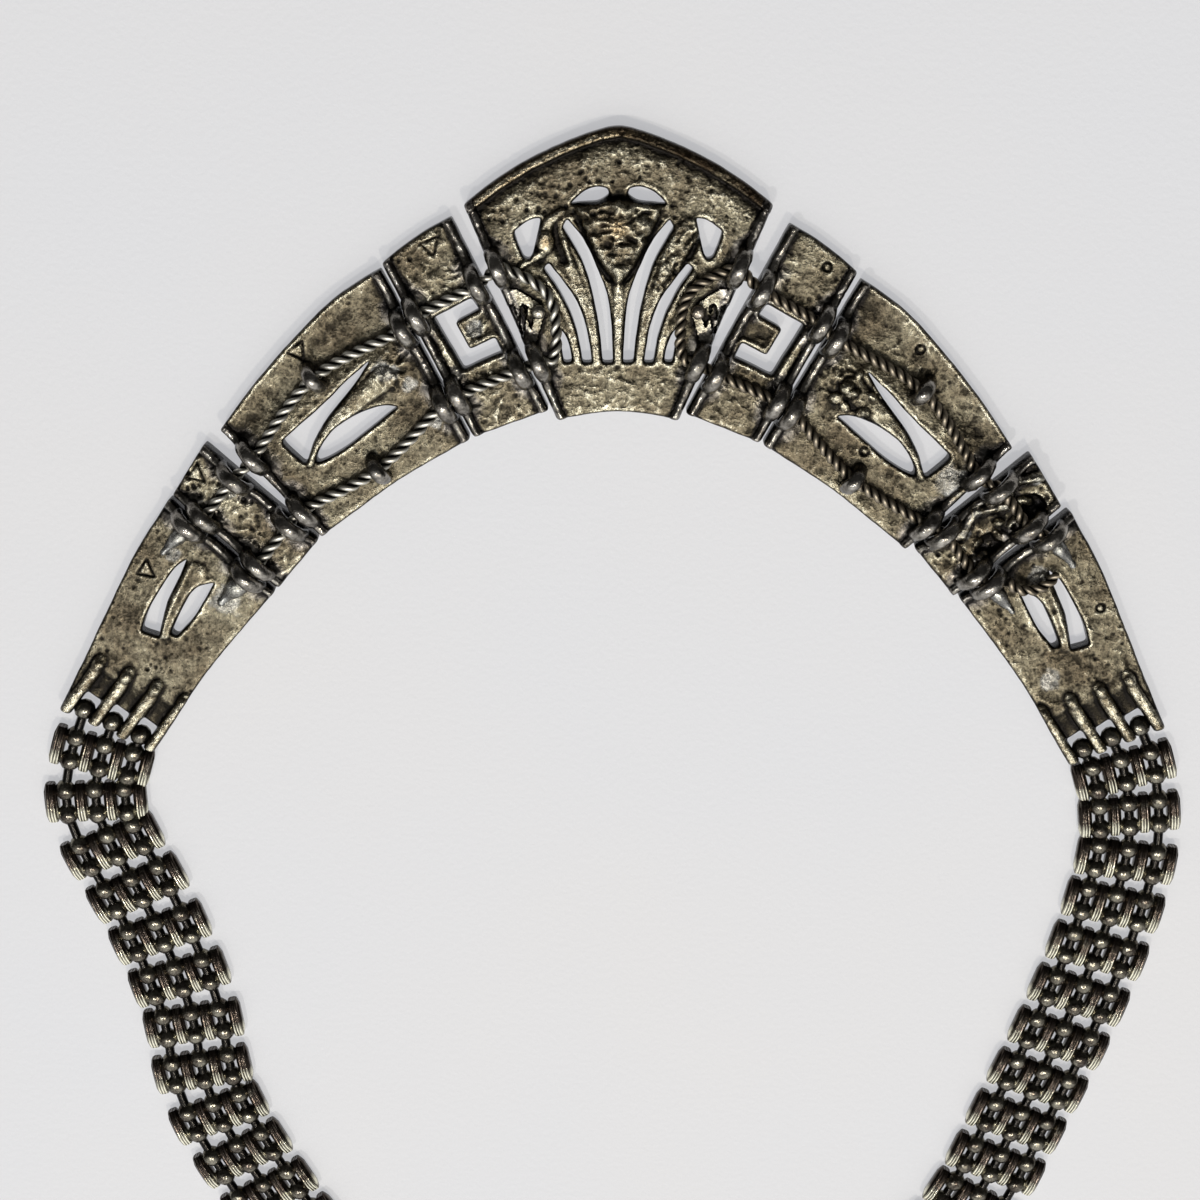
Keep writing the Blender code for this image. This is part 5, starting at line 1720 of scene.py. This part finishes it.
for group, finish in ((PLATES, "plate_pewter"), (WIRES, "wire_silver"),
                      (CHAINS, "chain_gunmetal")):
    for name, (piece, node) in group.items():
        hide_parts(node)
        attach(piece, "root")
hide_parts("clasp")
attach(clasp, "root")

# %% [markdown]
# ## Paper, light and camera
# The necklace lies on white paper, which gives off a little light of its own, so that it
# stays pale where it shows through the openings. Two small lamps stand on the clasp side,
# one warm and one nearly white, and give every edge a short soft shadow away from the
# clasp. The sky is bright on that side alone, so metal that is tilted to it is pale. The
# camera alone sees a plain pale backdrop. It looks down from the centre plate's side,
# tilted about sixteen degrees from straight down.

# %% The pale floor
paper = Finish("white_paper")
pulp = paper.noise(0.8, 5.0, 0.6)
drift = paper.noise(60.0, 2.0)
tone = paper.mix(drift.ramp(0.3, 0.7), (0.25, 0.25, 0.252), (0.262, 0.254, 0.244))
paper.bump(pulp, 0.5, 0.2)
paper_look = paper.set(Base_Color=tone, Roughness=0.92, Emission_Strength=1.0,
                       Emission_Color=(0.465, 0.468, 0.485, 1.0))
FLOOR_HALF = 2
floor_mesh = bpy.data.meshes.new("paper")
floor_mesh.from_pydata([(x * FLOOR_HALF, y * FLOOR_HALF, 0)
                        for x, y in ((-1, -1), (1, -1), (1, 1), (-1, 1))], [], [(0, 1, 2, 3)])
floor_mesh.materials.append(paper_look)
paper_floor = new_object("paper", floor_mesh)
paper_floor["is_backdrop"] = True

# %% Two lamps
LAMP_SIZE, LAMP_POWER = 0.04, 2.0
LIT_POINT = Vector((0.0, 0.035, 0.0))
for name, place, colour in (("warm_soft_light", (0.15, -0.27, 0.68), (1.0, 0.94, 0.83)),
                            ("cool_soft_light", (-0.17, -0.26, 0.68), (0.97, 0.96, 0.94))):
    data = bpy.data.lights.new(name, "AREA")
    data.shape = "DISK"
    data.size, data.energy, data.color = LAMP_SIZE, LAMP_POWER, colour
    lamp = new_object(name, data)
    lamp.location = place
    lamp.rotation_mode = "QUATERNION"
    lamp.rotation_quaternion = (LIT_POINT - Vector(place)).to_track_quat("-Z", "Y")

# %% The sky
BRIGHT_SIDE = (0.0, -0.80, 0.60)
DIM, BRIGHT, BACKDROP = 0.04, 1.5, 0.74
world = bpy.data.worlds.new("soft_room")
scene.world = world
world.use_nodes = True
sky = Nodes(world.node_tree)
outward = sky.node("ShaderNodeTexCoord").outputs["Generated"]
facing = sky.worked_out("ShaderNodeVectorMath", "DOT_PRODUCT", (outward, BRIGHT_SIDE))
fade = sky.node("ShaderNodeMapRange", {"interpolation_type": "SMOOTHSTEP"},
                Value=facing.outputs["Value"], From_Min=0.35, From_Max=1.0, To_Min=DIM,
                To_Max=BRIGHT)
seen = sky.node("ShaderNodeLightPath").outputs["Is Camera Ray"]
strength = sky.node("ShaderNodeMix", Factor=seen, A=fade.outputs[0], B=BACKDROP)
background = world.node_tree.nodes["Background"].inputs
sky.feed(background["Strength"], strength.outputs["Result"])
sky.feed(background["Color"], (0.985, 0.99, 1.0, 1.0))
scene.view_settings.view_transform = "Standard"

# %% Camera
TILT = math.radians(16.5)
DISTANCE = 0.315
PIXEL = 0.136 * MM
PICTURE_WIDTH = 1200.0
SENSOR_WIDTH = 36.0
aim = Vector((ROUTE_SHIFT[0] * MM, ROUTE_SHIFT[1] * MM, 0.0))
camera_data = bpy.data.cameras.new("camera")
camera_data.sensor_width = SENSOR_WIDTH
camera_data.lens = SENSOR_WIDTH * (DISTANCE / PIXEL) / PICTURE_WIDTH
camera = new_object("camera", camera_data)
toward = Vector((0.0, math.sin(TILT), math.cos(TILT)))
right = Vector((1.0, 0.0, 0.0))
camera.matrix_world = Matrix((right, toward.cross(right), toward)).transposed().to_4x4()
camera.location = aim + toward * DISTANCE
scene.camera = camera
print("camera at", [round(v, 4) for v in camera.location], "lens", round(camera_data.lens, 1))

# %% Sizes, and the last line
new_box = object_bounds()
for label, pair in (("cad", cad_box), ("visual", new_box)):
    print(label, [[round(c * 1000, 2) for c in v] for v in pair])
